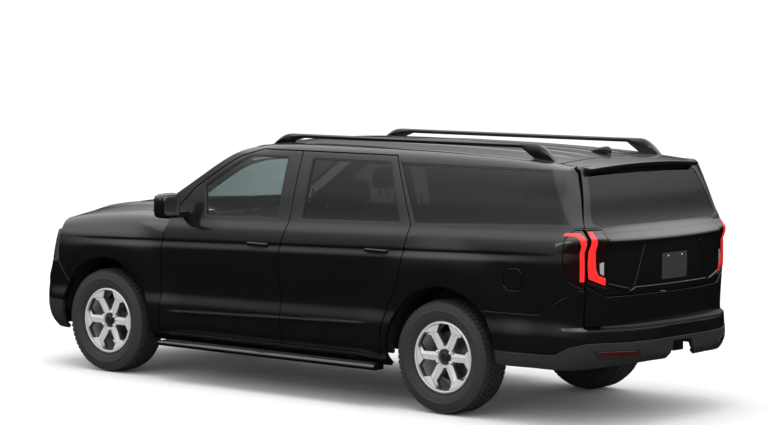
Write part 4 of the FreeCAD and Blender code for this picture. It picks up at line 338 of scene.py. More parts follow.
def eased(points, radius=0.010):
    """The outline with its corners rounded."""
    out = []
    for a, b, c in zip(points[-1:] + points[:-1], points, points[1:] + points[:1]):
        a, b, c = Vector(a), Vector(b), Vector(c)
        before, after = a - b, c - b
        if before.length < 1e-6 or after.length < 1e-6 or before.angle(after) > 2.9:
            out.append(tuple(b))
            continue
        p = b + before.normalized() * min(radius, before.length * 0.45)
        q = b + after.normalized() * min(radius, after.length * 0.45)
        for i in range(5):
            t = i / 4
            out.append(tuple(p * (1 - t) ** 2 + b * (2 * t * (1 - t)) + q * t * t))
    return out


def area(ring):
    """Signed area of a closed ring."""
    x, y = ring[:, 0], ring[:, 1]
    return 0.5 * float(np.sum(x * np.roll(y, -1) - np.roll(x, -1) * y))


def inset(ring, distance):
    """The ring moved inwards."""
    before = ring - np.roll(ring, 1, 0)
    after = np.roll(ring, -1, 0) - ring
    before /= np.maximum(np.linalg.norm(before, axis=1), 1e-9)[:, None]
    after /= np.maximum(np.linalg.norm(after, axis=1), 1e-9)[:, None]
    first = np.stack([-before[:, 1], before[:, 0]], 1)
    second = np.stack([-after[:, 1], after[:, 0]], 1)
    stretch = np.maximum(1 + (first * second).sum(1), 0.4)
    return ring + (first + second) * (distance / stretch)[:, None]


def grown(points, distance):
    """The outline moved outwards, whichever way round it runs."""
    ring = np.array(points)
    return [tuple(p) for p in inset(ring, -distance if area(ring) > 0 else distance)]


def inside(points, ring):
    """Which points lie inside a closed ring."""
    x, y = points[:, 0], points[:, 1]
    result = np.zeros(len(points), bool)
    for (ax, ay), (bx, by) in zip(ring, np.roll(ring, -1, 0)):
        if ay == by:
            continue
        result ^= ((ay > y) != (by > y)) & (x < (bx - ax) * (y - ay) / (by - ay) + ax)
    return result


def ring_of(radius, x, z, count, first=0.0):
    return [(x + radius * math.sin(2 * math.pi * (i + first) / count),
             z + radius * math.cos(2 * math.pi * (i + first) / count)) for i in range(count)]


def drawn(name, verts, faces, normals, material, body, slot, stands_for=()):
    """An object from mesh data with its normals, put on its body with its material."""
    mesh = bpy.data.meshes.new(name)
    mesh.from_pydata([tuple(v) for v in verts], [], [tuple(f) for f in faces])
    mesh.polygons.foreach_set("use_smooth", [True] * len(mesh.polygons))
    mesh.normals_split_custom_set_from_vertices([tuple(n) for n in normals])
    mesh.materials.append(material)
    obj = bpy.data.objects.new(name, mesh)
    bpy.context.scene.collection.objects.link(obj)
    return placed(obj, body, stands_for)


def placed(obj, body, stands_for=()):
    """Puts a piece on its body, in place of CAD nodes."""
    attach(obj, body)
    if stands_for:
        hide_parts(*stands_for)
    return obj


def panel_data(surface, outline, holes=(), depth=0.02, edge=None, pitch=(0.035, 0.012),
               start=0.0, back=True, sign=None):
    """Vertices, faces and normals of a sheet on a surface, with rolled edges and returns."""
    outer = np.array(dense(list(outline)))
    rings = [outer if area(outer) > 0 else outer[::-1]]
    edge = edge or bpy.context.scene.vehicle_sizes.edge_roll
    for hole in holes:
        ring = np.array(dense(list(hole)))
        rings.append(ring if area(ring) < 0 else ring[::-1])
    verts, normals, faces = [], [], []
    tiny = 0.0006

    def on(plane):
        u, v = plane[:, 0], plane[:, 1]
        p = surface(u, v)
        du = surface(u + tiny, v) - surface(u - tiny, v)
        dv = surface(u, v + tiny) - surface(u, v - tiny)
        n = np.cross(du, dv)
        n /= np.maximum(np.linalg.norm(n, axis=1), 1e-12)[:, None]
        return p, n

    p, n = on(rings[0])
    away = p - np.array([0, 0, 0.9])
    away[:, 0] *= 0.3
    if sign is None:
        sign = 1.0 if float((n * away).sum()) > 0 else -1.0
    roll = [(depth, 0, 90), (edge, 0, 80), (edge * 0.3, edge * 0.3, 45), (0, edge, 0)]
    inner_rings = []
    for ring in rings:
        previous = None
        for low, step, tilt in roll:
            plane = inset(ring, step)
            p, n = on(plane)
            n = n * sign
            out = surface(*(inset(ring, step - 0.001)).T) - surface(*plane.T)
            out -= n * (out * n).sum(1)[:, None]
            out /= np.maximum(np.linalg.norm(out, axis=1), 1e-12)[:, None]
            turn = math.radians(tilt)
            first = sum(map(len, verts))
            verts.append(p - n * (low + start))
            normals.append(n * math.cos(turn) + out * math.sin(turn))
            count = len(ring)
            if previous is not None:
                for i in range(count):
                    j = (i + 1) % count
                    quad = (previous + i, previous + j, first + j, first + i)
                    faces.append(quad if sign > 0 else quad[::-1])
            previous = first
        inner_rings.append(inset(ring, edge))
    low, high = inner_rings[0].min(0), inner_rings[0].max(0)
    scale = np.array([pitch[1] / pitch[0], 1.0])
    us = np.arange(low[0] + pitch[0] / 2, high[0], pitch[0])
    vs = np.arange(low[1] + pitch[1] / 2, high[1], pitch[1])
    grid = np.stack([a.ravel() for a in np.meshgrid(us, vs)], 1)
    keep = inside(grid, inner_rings[0])
    for ring in inner_rings[1:]:
        keep &= ~inside(grid, ring)
    grid = grid[keep]
    border = np.vstack(inner_rings) * scale
    if len(grid):
        near = np.full(len(grid), 9.0)
        for chunk in np.array_split(border, max(1, len(border) // 200)):
            near = np.minimum(near, np.linalg.norm(grid[:, None] * scale - chunk[None], axis=2).min(1))
        grid = grid[near > 0.4 * pitch[1]]
    edges, first = [], 0
    for ring in inner_rings:
        edges += [(first + i, first + (i + 1) % len(ring)) for i in range(len(ring))]
        first += len(ring)
    plane = np.vstack([border, grid * scale])
    found = delaunay_2d_cdt([Vector(q) for q in plane.tolist()], edges, [], 0, 1e-7)
    plane = np.array([(q.x, q.y) for q in found[0]]) / scale
    triangles = np.array(found[2])
    middle = plane[triangles].mean(1)
    keep = inside(middle, inner_rings[0])
    for ring in inner_rings[1:]:
        keep &= ~inside(middle, ring)
    triangles = triangles[keep]
    p, n = on(plane)
    n = n * sign
    if sign < 0:
        triangles = triangles[:, ::-1]
    first = sum(map(len, verts))
    verts.append(p - n * start)
    normals.append(n)
    faces += [tuple(int(i) + first for i in f) for f in triangles]
    if back:
        first = sum(map(len, verts))
        verts.append(p - n * (depth + start))
        normals.append(-n)
        faces += [tuple(int(i) + first for i in f[::-1]) for f in triangles]
    return np.vstack(verts), faces, np.vstack(normals)


def joined(*pieces):
    """Several sheets as one mesh."""
    verts, faces, normals, first = [], [], [], 0
    for points, shapes, directions in pieces:
        verts.append(points)
        normals.append(directions)
        faces += [tuple(i + first for i in f) for f in shapes]
        first += len(points)
    return np.vstack(verts), faces, np.vstack(normals)


def flipped(piece):
    """The other side's copy."""
    points, shapes, directions = piece
    mirror = np.array([1, -1, 1])
    return points * mirror, [f[::-1] for f in shapes], directions * mirror


def both(piece):
    """The piece and its copy on the other side."""
    return joined(piece, flipped(piece))


def solid(name, build, material, body, stands_for=(), bevel=0.004, smooth_angle=35, subdivide=0):
    """An object from a bmesh that build fills, with its edges rounded."""
    mesh = bpy.data.meshes.new(name)
    bm = bmesh.new()
    build(bm)
    bmesh.ops.recalc_face_normals(bm, faces=bm.faces)
    if bevel:
        sharp = [e for e in bm.edges if len(e.link_faces) == 2 and e.calc_face_angle() > 0.5]
        bmesh.ops.bevel(bm, geom=sharp, offset=bevel, segments=2, profile=0.6, affect="EDGES",
                        clamp_overlap=True)
    for f in bm.faces:
        f.smooth = True
    for e in bm.edges:
        e.smooth = len(e.link_faces) == 2 and e.calc_face_angle() < math.radians(smooth_angle)
    bm.to_mesh(mesh)
    bm.free()
    mesh.materials.append(material)
    obj = bpy.data.objects.new(name, mesh)
    bpy.context.scene.collection.objects.link(obj)
    if subdivide:
        modifier = obj.modifiers.new("Soft", "SUBSURF")
        modifier.levels = modifier.render_levels = subdivide
    return placed(obj, body, stands_for)


def slab(bm, loop, depth):
    """A prism from a loop of points, pushed along a vector."""
    near = [bm.verts.new(p) for p in loop]
    far = [bm.verts.new(Vector(p) + Vector(depth)) for p in loop]
    bm.faces.new(near)
    bm.faces.new(far[::-1])
    for i in range(len(loop)):
        j = (i + 1) % len(loop)
        bm.faces.new((near[i], far[i], far[j], near[j]))


def brick(bm, low, high):
    """A block between two corners."""
    (x0, y0, z0), (x1, y1, z1) = low, high
    slab(bm, [(x0, y0, z0), (x1, y0, z0), (x1, y1, z0), (x0, y1, z0)], (0, 0, z1 - z0))


def skinned(bm, rings):
    """Faces between closed rings of vertices, with both ends capped."""
    for a, b in zip(rings, rings[1:]):
        for i in range(len(a)):
            j = (i + 1) % len(a)
            bm.faces.new((a[i], a[j], b[j], b[i]))
    bm.faces.new(rings[0])
    bm.faces.new(rings[-1][::-1])


def lathe(bm, profile, count, centre=(0, 0, 0)):
    """A closed ring about an axis along Y, from (radius, y) corners."""
    loops = []
    for i in range(count):
        a = 2 * math.pi * i / count
        loops.append([bm.verts.new((centre[0] + r * math.sin(a), centre[1] + y, centre[2]
                                    + r * math.cos(a)))
                      for r, y in profile])
    for i, loop in enumerate(loops):
        after = loops[(i + 1) % count]
        for j in range(len(profile)):
            k = (j + 1) % len(profile)
            bm.faces.new((loop[j], loop[k], after[k], after[j]))


# Finishes

def uneven_group():
    """Colour, roughness and height that vary a little over a surface."""
    name = "Uneven Finish"
    if name in bpy.data.node_groups:
        return bpy.data.node_groups[name]
    group = bpy.data.node_groups.new(name, "ShaderNodeTree")
    face = group.interface
    face.new_socket("Colour", in_out="INPUT", socket_type="NodeSocketColor")
    for socket, value in (("Scale", 40.0), ("Variation", 0.1), ("Roughness", 0.4),
                          ("Roughness Variation", 0.05)):
        face.new_socket(socket, in_out="INPUT", socket_type="NodeSocketFloat").default_value = value
    face.new_socket("Colour", in_out="OUTPUT", socket_type="NodeSocketColor")
    face.new_socket("Roughness", in_out="OUTPUT", socket_type="NodeSocketFloat")
    face.new_socket("Height", in_out="OUTPUT", socket_type="NodeSocketFloat")
    nodes, links = group.nodes, group.links
    start, end = nodes.new("NodeGroupInput"), nodes.new("NodeGroupOutput")
    place, noise = nodes.new("ShaderNodeTexCoord"), nodes.new("ShaderNodeTexNoise")
    noise.inputs["Detail"].default_value = 4
    links.new(place.outputs["Object"], noise.inputs["Vector"])
    links.new(start.outputs["Scale"], noise.inputs["Scale"])
    centred = nodes.new("ShaderNodeMath")
    centred.operation = "SUBTRACT"
    centred.inputs[1].default_value = 0.5
    links.new(noise.outputs["Fac"], centred.inputs[0])
    shade = nodes.new("ShaderNodeMath")
    shade.operation = "MULTIPLY_ADD"
    shade.inputs[2].default_value = 1.0
    links.new(centred.outputs[0], shade.inputs[0])
    links.new(start.outputs["Variation"], shade.inputs[1])
    tint = nodes.new("ShaderNodeVectorMath")
    tint.operation = "SCALE"
    links.new(start.outputs["Colour"], tint.inputs[0])
    links.new(shade.outputs[0], tint.inputs["Scale"])
    links.new(tint.outputs[0], end.inputs["Colour"])
    rough = nodes.new("ShaderNodeMath")
    rough.operation = "MULTIPLY_ADD"
    links.new(centred.outputs[0], rough.inputs[0])
    links.new(start.outputs["Roughness Variation"], rough.inputs[1])
    links.new(start.outputs["Roughness"], rough.inputs[2])
    links.new(rough.outputs[0], end.inputs["Roughness"])
    links.new(noise.outputs["Fac"], end.inputs["Height"])
    return group


def finish(name, colour, roughness=0.4, metallic=0.0, coat=0.0, scale=40.0, variation=0.12, spread=0.06,
           bump=0.0, glow=0.0, clear=0.0, specular=0.5, alpha=1.0):
    """A material with a little unevenness over its surface."""
    if name in bpy.data.materials:
        return bpy.data.materials[name]
    material = bpy.data.materials.new(name)
    material.use_nodes = True
    nodes, links = material.node_tree.nodes, material.node_tree.links
    shader = nodes["Principled BSDF"]
    uneven = nodes.new("ShaderNodeGroup")
    uneven.node_tree = uneven_group()
    uneven.inputs["Colour"].default_value = (*colour, 1)
    uneven.inputs["Scale"].default_value = scale
    uneven.inputs["Variation"].default_value = variation
    uneven.inputs["Roughness"].default_value = roughness
    uneven.inputs["Roughness Variation"].default_value = spread
    links.new(uneven.outputs["Colour"], shader.inputs["Base Color"])
    links.new(uneven.outputs["Roughness"], shader.inputs["Roughness"])
    shader.inputs["Metallic"].default_value = metallic
    shader.inputs["Coat Weight"].default_value = coat
    shader.inputs["Coat Roughness"].default_value = 0.03
    shader.inputs["Specular IOR Level"].default_value = specular
    shader.inputs["Transmission Weight"].default_value = clear
    shader.inputs["Alpha"].default_value = alpha
    if glow:
        links.new(uneven.outputs["Colour"], shader.inputs["Emission Color"])
        shader.inputs["Emission Strength"].default_value = glow
    if bump:
        raised = nodes.new("ShaderNodeBump")
        raised.inputs["Strength"].default_value = bump
        raised.inputs["Distance"].default_value = 0.002
        links.new(uneven.outputs["Height"], raised.inputs["Height"])
        links.new(raised.outputs["Normal"], shader.inputs["Normal"])
    return material


def paint():
    """Black gloss paint with a clear coat."""
    colour = bpy.context.scene.vehicle_colours.paint
    return finish("Black gloss paint", colour, 0.30, coat=1.0, scale=6, variation=0.05, spread=0.02,
                  specular=0.3)


def glass(tint):
    """Tinted or clear glass."""
    colours = bpy.context.scene.vehicle_colours
    if tint:
        return finish("Privacy glass", colours.privacy_glass, 0.02, clear=1.0, scale=3, variation=0.03,
                      spread=0.0)
    return finish("Clear glass", colours.clear_glass, 0.01, clear=1.0, scale=3, variation=0.02,
                  spread=0.0)


def black_trim():
    return finish("Satin black trim", (0.012, 0.012, 0.013), 0.35, scale=300, bump=0.1)


def cladding():
    return finish("Grained cladding", bpy.context.scene.vehicle_colours.cladding, 0.62, scale=900,
                  variation=0.3, bump=0.35)


def dark_inside():
    return finish("Dark lining", (0.006, 0.006, 0.007), 0.8, scale=200, bump=0.2)


def cabin_lining():
    return finish("Cabin lining", (0.02, 0.02, 0.022), 0.8, scale=150, bump=0.2)


def bright_metal():
    return finish("Machined aluminium", bpy.context.scene.vehicle_colours.alloy, 0.25, 0.35, scale=500,
                  variation=0.1, bump=0.03)


def grey_metal():
    return finish("Grey wheel paint", (0.085, 0.087, 0.092), 0.38, 0.6, coat=0.5, scale=200)


# Outlines of doors, windows and gates

def belt(x):
    """Height of the belt line."""
    return float(SIDE_HEIGHT[BELT] - SIDE_CLIMB[BELT] * x)


def pillar_x(z, back=0.0):
    """The windscreen pillar's rear edge at a height."""
    y = half_width(np.array([0.0]), np.array([z]))
    return float(screen(y, np.array([z]))[0, 0]) - 0.105 - back


DOOR_FRONT, DOOR_MIDDLE, DOOR_REAR = 1.285, 0.060, -1.110
SILL, DOOR_TOP, WINDOW_TOP = 0.372, level(0.955), level(0.93)
MIDDLE_LINE = [(DOOR_MIDDLE, SILL)]
MIDDLE_LINE += [(DOOR_MIDDLE + lean * FRONT, level(z)) for z, lean in
                ((0.42, 0.0053), (0.5426, 0.0099), (0.58, GAP), (0.6755, -0.0135))]
MIDDLE_LINE += [(DOOR_MIDDLE - 0.016 * FRONT, DOOR_TOP)]
ARCH_LINE = [(REAR_AXLE + reach * 0.5 * math.cos(math.radians(turn)), TYRE
              + reach * 0.5 * math.sin(math.radians(turn)))
             for reach, turn in ((1.24, 50), (1.156, 33), (1.114, 16), (1.092, -4))]
ARCH_LINE[-1] = (ARCH_LINE[-1][0], SILL)
SHUT_LINE = [(DOOR_FRONT, SILL), (DOOR_FRONT, level(0.5426)), (DOOR_FRONT - 0.045, belt(DOOR_FRONT))]
PILLAR = [(pillar_x(z), z) for z in (level(0.787), level(0.83), level(0.872), level(0.90),
                                     level(0.9255))]
FRONT_DOOR = SHUT_LINE + PILLAR + [(pillar_x(DOOR_TOP, 0.062), DOOR_TOP)] + MIDDLE_LINE[::-1]
REAR_EDGE = [(DOOR_REAR + 0.228, DOOR_TOP), (DOOR_REAR - 0.020, belt(DOOR_REAR)),
             (DOOR_REAR + 0.020, level(0.553))]
REAR_DOOR = MIDDLE_LINE + REAR_EDGE + ARCH_LINE
FOOT = pillar_x(level(0.80), 0.124)
PANE = DOOR_MIDDLE + 0.078
FRONT_WINDOW = [(FOOT, belt(FOOT) + LAP)] + [(pillar_x(level(z), 0.062), level(z))
                                             for z in (0.80, 0.84, 0.872, 0.90)]
FRONT_WINDOW += [(pillar_x(WINDOW_TOP, 0.076), WINDOW_TOP), (PANE, WINDOW_TOP),
                 (PANE, belt(PANE) + LAP)]
REAR_PANE = DOOR_MIDDLE - 0.155
REAR_WINDOW = [(REAR_PANE, belt(REAR_PANE) + LAP), (REAR_PANE, WINDOW_TOP),
               (DOOR_REAR + 0.265, WINDOW_TOP), (DOOR_REAR + 0.075, belt(DOOR_REAR) + LAP)]
QUARTER = [(DOOR_REAR - 0.050, belt(DOOR_REAR) + LAP), (DOOR_REAR + 0.182, WINDOW_TOP),
           (-0.803 * FRONT, WINDOW_TOP), (-0.884 * FRONT, belt(-0.884 * FRONT) + 0.036)]
BUMPER_SEAM = [(-0.811 * FRONT, level(0.4096)), (-0.834 * FRONT, level(0.432)),
               (-0.908 * FRONT, level(0.504))]
FRONT_SEAM = [(0.824 * FRONT, level(0.372)), (0.8659 * FRONT, level(0.447))]
TAIL_LAMP = [(-0.896, 0.719), (-0.880, 0.686), (-0.880, 0.601), (-0.893, 0.537), (-0.919, 0.510)]
TAIL_LAMP = [(x * FRONT, level(z)) for x, z in TAIL_LAMP]
GATE_SIDE = [(y * HALF, level(z)) for y, z in ((0.680, 0.985), (0.823, 0.735), (0.838, 0.63),
                                               (0.838, 0.5245))]
GATE_FOOT, LAMP_FOOT, TAIL_FOOT = level(0.4815), level(0.5245), 0.700
LAMP_INNER = 0.690 * HALF
REAR_GLASS = [(y * HALF, level(z)) for y, z in ((0.60, 0.917), (0.66, 0.902), (0.755, 0.742),
                                                (0.70, 0.730))]
FUEL_CORNERS = [(-0.075, -0.045), (-0.045, -0.075), (0.045, -0.075), (0.075, -0.045),
                (0.075, 0.045), (0.045, 0.075), (-0.045, 0.075), (-0.075, 0.045)]
FUEL = [(-2.075 + dx, 1.0 + dz) for dx, dz in FUEL_CORNERS]
TAIL = wrap(tail_x, -1)
NOSE = wrap(nose_x, 1, True)


def full_width(points):
    """The half outline with its mirror image."""
    return points + [(-y, z) for y, z in reversed(points)]


def arch(axle, radius, first, last, count=40):
    """Points round a wheel arch between two angles in degrees."""
    turns = [math.radians(first + (last - first) * i / count) for i in range(count + 1)]
    return [(axle + radius * math.cos(t), TYRE + radius * math.sin(t)) for t in turns]


def split(points):
    """Side view points close enough for the section's curve."""
    return [p for a, b in zip(points, points[1:]) for p in
            [(a[0] + (b[0] - a[0]) * i / 12, a[1] + (b[1] - a[1]) * i / 12)
             for i in range(12)]] + points[-1:]


def closed(points):
    """A side view loop split finely all the way round."""
    return split(points + points[:1])[:-1]


def screen_edge():
    """Where the body side meets the windscreen, from the foot up."""
    out = []
    for z in np.linspace(1.285, level(0.965), 24):
        x = 1.0
        for _ in range(30):
            y = half_width(np.array([x]), np.array([z]))
            x = float(screen(y, np.array([z]))[0, 0])
        out.append((x - 0.004, float(z)))
    return out


def lamp_front(distance):
    """The tail lamp's front edge, moved outwards."""
    beyond = -1.02 * FRONT
    return grown([(beyond, level(0.719))] + TAIL_LAMP + [(beyond, level(0.510))], distance)[1:-1]


def body_side_outline():
    """The C-shaped outline of the body side in its wrapped plane."""
    edge = screen_edge()
    top = [(x, float(lift(np.array([max(x, -CORNER)]), KNOTS[False][-1])[0]) - 0.001)
           for x in np.linspace(edge[-1][0] - 0.02, -CORNER, 60)]
    opening = grown(REAR_DOOR, GAP)
    front = [(1.285, 0.299), (1.285, SILL - GAP)]
    sill_rear = [opening[-1]]
    path = front + sill_rear + opening[len(MIDDLE_LINE):-1][::-1]
    pillar = grown(FRONT_DOOR, GAP)
    shut = pillar[2:len(SHUT_LINE) + len(PILLAR) + 1][::-1]
    path += shut + [(SHUT_LINE[-1][0] + GAP, 1.285)] + edge + top
    side_part = unroll(split(path), tail_x, -1)
    gate = [(0.72, 1.850), (0.84, level(0.735)), (0.852, level(0.719) + 0.004)]
    gate_part = unroll(split(gate), tail_x, -1, rear=True)
    lamp = lamp_front(GAP)
    low = lamp + [(-0.916 * FRONT, level(0.504) + GAP)]
    low += [(x, z + GAP) for x, z in BUMPER_SEAM[::-1]][1:]
    start = math.degrees(math.asin((level(0.408) - TYRE) / ARCH))
    low += arch(REAR_AXLE, ARCH, 180 - start, -12.2) + [(-0.955, 0.299), (1.285, 0.299)]
    low_part = unroll(split(low), tail_x, -1)
    return side_part + gate_part + low_part[:-1]


# Pieces

def body_and_wings():
    """Body side skins, the lining behind them, and the wings."""
    side_panel = panel_data(TAIL, body_side_outline(), [unroll(closed(QUARTER), tail_x, -1),
                            unroll(closed(grown(FUEL, 0.004)), tail_x, -1)], depth=0.035)
    for hand, shape in (("left", side_panel), ("right", flipped(side_panel))):
        drawn(f"body_side_skin_{hand}", *shape, paint(), "body", "paint", (f"body_side_{hand}",))
    inner = [(1.29, 0.31), (1.29, 1.22)] + [(pillar_x(z, -0.03), z)
                                            for z in (1.30, 1.40, 1.50, 1.60, 1.70, 1.76)]
    inner += [(0.30, level(0.955)), (-2.20, level(0.945)), (-2.30, 1.70), (-2.30, 0.90), (-1.96, 0.83)]
    inner += arch(REAR_AXLE, 0.515, 178, -9) + [(-0.93, 0.31)]
    holes = [grown(FRONT_DOOR, -0.030), grown(REAR_DOOR, -0.032)]
    holes.append(grown(QUARTER, 0.006))
    shell = panel_data(TAIL, unroll(closed(inner), tail_x, -1),
                       [unroll(closed(h), tail_x, -1) for h in holes],
                       depth=0.02, start=0.099, pitch=(0.08, 0.04))
    drawn("inner_sides", *both(shell), cabin_lining(), "body", "plastic")
    wing = [(2.440, level(0.447) + 0.004)] + [(2.440, float(bonnet_edge(2.44)[0]) - 0.0015)]
    wing += [(x, float(bonnet_edge(np.array([x]))[0]) - 0.001) for x in np.linspace(2.40, 1.245, 40)]
    wing += [(SHUT_LINE[2][0] + GAP, belt(1.24)), (DOOR_FRONT + GAP, level(0.5426)),
             (DOOR_FRONT + GAP, 0.302)]
    wing += [(1.40, 0.302)]
    begin = math.degrees(math.asin((level(0.380) - TYRE) / ARCH))
    wing += arch(FRONT_AXLE, ARCH, 192, begin)
    wing += [(FRONT_SEAM[0][0], FRONT_SEAM[0][1] + 0.004), (FRONT_SEAM[1][0], FRONT_SEAM[1][1] + 0.004)]
    wing_panel = panel_data(lambda u, v: side(u, v, True), run_at(closed(wing), True), depth=0.028)
    for hand, shape in (("left", wing_panel), ("right", flipped(wing_panel))):
        drawn(f"wing_skin_{hand}", *shape, paint(), "body", "paint", (f"wing_{hand}",))


def bonnet_and_roof():
    """Bonnet, roof with its lining, roof fin and cowl."""
    xs = np.linspace(1.50, 2.52, 26)
    half = bonnet_half(xs) - 0.004
    rear = [(float(screen(np.array([y]), np.array([1.30]))[0, 0]) + 0.034, float(y))
            for y in np.linspace(-0.76, 0.76, 21)]
    left = [(float(x), float(h)) for x, h in zip(xs, half)]
    front = [(float(nose_x(np.array([y]), np.array([1.085]))[0]) - 0.010, float(y))
             for y in np.linspace(left[-1][1] - 0.012, 0.012 - left[-1][1], 31)]
    outline = rear + left + front + [(x, -y) for x, y in reversed(left)]
    drawn("bonnet_skin", *panel_data(bonnet, eased(outline, 0.02), depth=0.03, pitch=(0.03, 0.03)),
          paint(), "bonnet", "paint", ("bonnet",))
    xs = np.linspace(-2.248, 0.42, 40)
    left = [(float(x), float(h)) for x, h in zip(xs, roof_half(xs) - 0.0025)]
    front = []
    for y in np.linspace(0.66, -0.66, 21):
        z = level(0.968) + 0.012 * (1 - (y / 0.66) ** 2)
        front.append((float(screen(np.array([y]), np.array([z]))[0, 0]) - 0.002, float(y)))
    left = [p for p in left if p[0] < front[0][0]]
    outline = left + front + [(x, -y) for x, y in reversed(left)]
    drawn("roof_skin", *panel_data(roof, eased(outline, 0.02), depth=0.022, pitch=(0.04, 0.016)),
          paint(), "body", "paint", ("roof",))
    drawn("roof_lining", *panel_data(roof, grown(outline, -0.02), depth=0.004, start=0.026,
                                     pitch=(0.08, 0.08)), cabin_lining(), "body", "plastic")

    def fin(bm):
        rings = []
        top = float(roof(np.array([-2.07]), np.array([0.0]))[0, 2])
        for x, height, width in ((-2.010, 0.0, 0.002), (-2.045, 0.016, 0.012), (-2.10, 0.037, 0.016),
                                 (-2.155, 0.052, 0.015), (-2.185, 0.053, 0.011),
                                 (-2.200, 0.030, 0.007)):
            base = top - 0.004 + 0.09 * (x + 2.07)
            ring = []
            for i in range(9):
                a = math.pi * i / 8
                ring.append(bm.verts.new((x, width * math.cos(a), base
                                          + (height + 0.002) * math.sin(a) ** 0.8)))
            rings.append(ring)
        for a, b in zip(rings, rings[1:]):
            for i in range(8):
                bm.faces.new((a[i], a[i + 1], b[i + 1], b[i]))
            bm.faces.new((a[8], a[0], b[0], b[8]))
        bm.faces.new(rings[0])
        bm.faces.new(rings[-1][::-1])
    solid("roof_fin", fin, paint(), "body", bevel=0, subdivide=1)

    def cowl(bm):
        ring = [(float(screen(np.array([y]), np.array([1.297]))[0, 0]) + dx, float(y), 1.262)
                for dx, ys in ((-0.04, np.linspace(-0.70, 0.70, 17)),
                               (0.03, np.linspace(0.70, -0.70, 17)))
                for y in ys]
        slab(bm, ring, (0, 0, 0.034))
    solid("cowl_panel", cowl, black_trim(), "body", ("cowl",))


def pane_data(surface, place, window):
    """A pane that lies a little inside the painted surface."""
    return panel_data(surface, place(closed(eased(grown(window, -INSET), 0.02))), depth=0.005,
                      edge=0.0008, start=0.007)


def seal_data(surface, place, window):
    """The black seal round a pane."""
    return panel_data(surface, place(closed(eased(grown(window, 0.001), 0.02))),
                      [place(closed(eased(grown(window, -0.010), 0.016)))], depth=0.004, edge=0.001,
                      start=0.003)


def doors():
    """Door skins, their linings, panes and seals."""
    for name, cut, window in (("front", FRONT_DOOR, FRONT_WINDOW), ("rear", REAR_DOOR, REAR_WINDOW)):
        outline = run_at(closed(eased(grown(cut, -GAP), 0.008)))
        hole = run_at(closed(eased(window, 0.02)))
        skin = panel_data(side, outline, [hole], depth=0.030)
        smaller = run_at(closed(grown(cut, -0.031)))
        rim_hole = run_at(closed(eased(grown(window, 0.006), 0.02)))
        lining = panel_data(side, smaller, [rim_hole], depth=0.016, start=0.030, pitch=(0.08, 0.04))
        low = [p for p in grown(cut, -0.031) if p[1] < belt(p[0]) - 0.02]
        lower = panel_data(side, run_at(closed(low)), depth=0.049, start=0.046, pitch=(0.08, 0.04))
        for hand in ("left", "right"):
            turn = (lambda s: s) if hand == "left" else flipped
            body = f"{name}_door_{hand}"
            drawn(f"{name}_door_skin_{hand}", *turn(skin), paint(), body, "paint", (body,))
            drawn(f"{name}_door_lining_{hand}", *turn(joined(lining, lower)),
                  cabin_lining(), body, "plastic")
            pane = pane_data(side, run_at, window)
            drawn(f"{name}_door_glass_{hand}", *turn(pane), glass(name == "rear"), body,
                  "glass_tint" if name == "rear" else "glass_clear", (f"{name}_window_{hand}",))
            seal = seal_data(side, run_at, window)
            drawn(f"{name}_window_seal_{hand}", *turn(seal), black_trim(), body, "black_trim")


def quarter_glass():
    """The fixed panes behind the rear doors."""
    def on_tail(points):
        return unroll(points, tail_x, -1)
    drawn("quarter_glass", *both(pane_data(TAIL, on_tail, QUARTER)), glass(True), "body", "glass_tint",
          ("quarter_windows",))
    drawn("quarter_seals", *both(seal_data(TAIL, on_tail, QUARTER)), black_trim(), "body", "black_trim")


def windscreen():
    """Windscreen with its black border."""
    outline = full_width([(0.655 * HALF, level(0.966)), (0.785 * HALF, level(0.691))])
    outline = closed(eased(outline, 0.05))
    band = grown(outline, -0.045)
    drawn("windscreen_glass", *panel_data(screen, outline, depth=0.006, edge=0.001, pitch=(0.04, 0.02)),
          glass(False), "body", "glass_clear", ("windscreen",))
    drawn("windscreen_border", *panel_data(screen, grown(outline, -0.002), [band], depth=0.002,
                                           edge=0.0005, start=0.0065,
          pitch=(0.04, 0.02)), black_trim(), "body", "black_trim")


def rear_run(points):
    """A rear view loop (y, z) on the tail's surface."""
    return unroll(closed(points), tail_x, -1, rear=True)


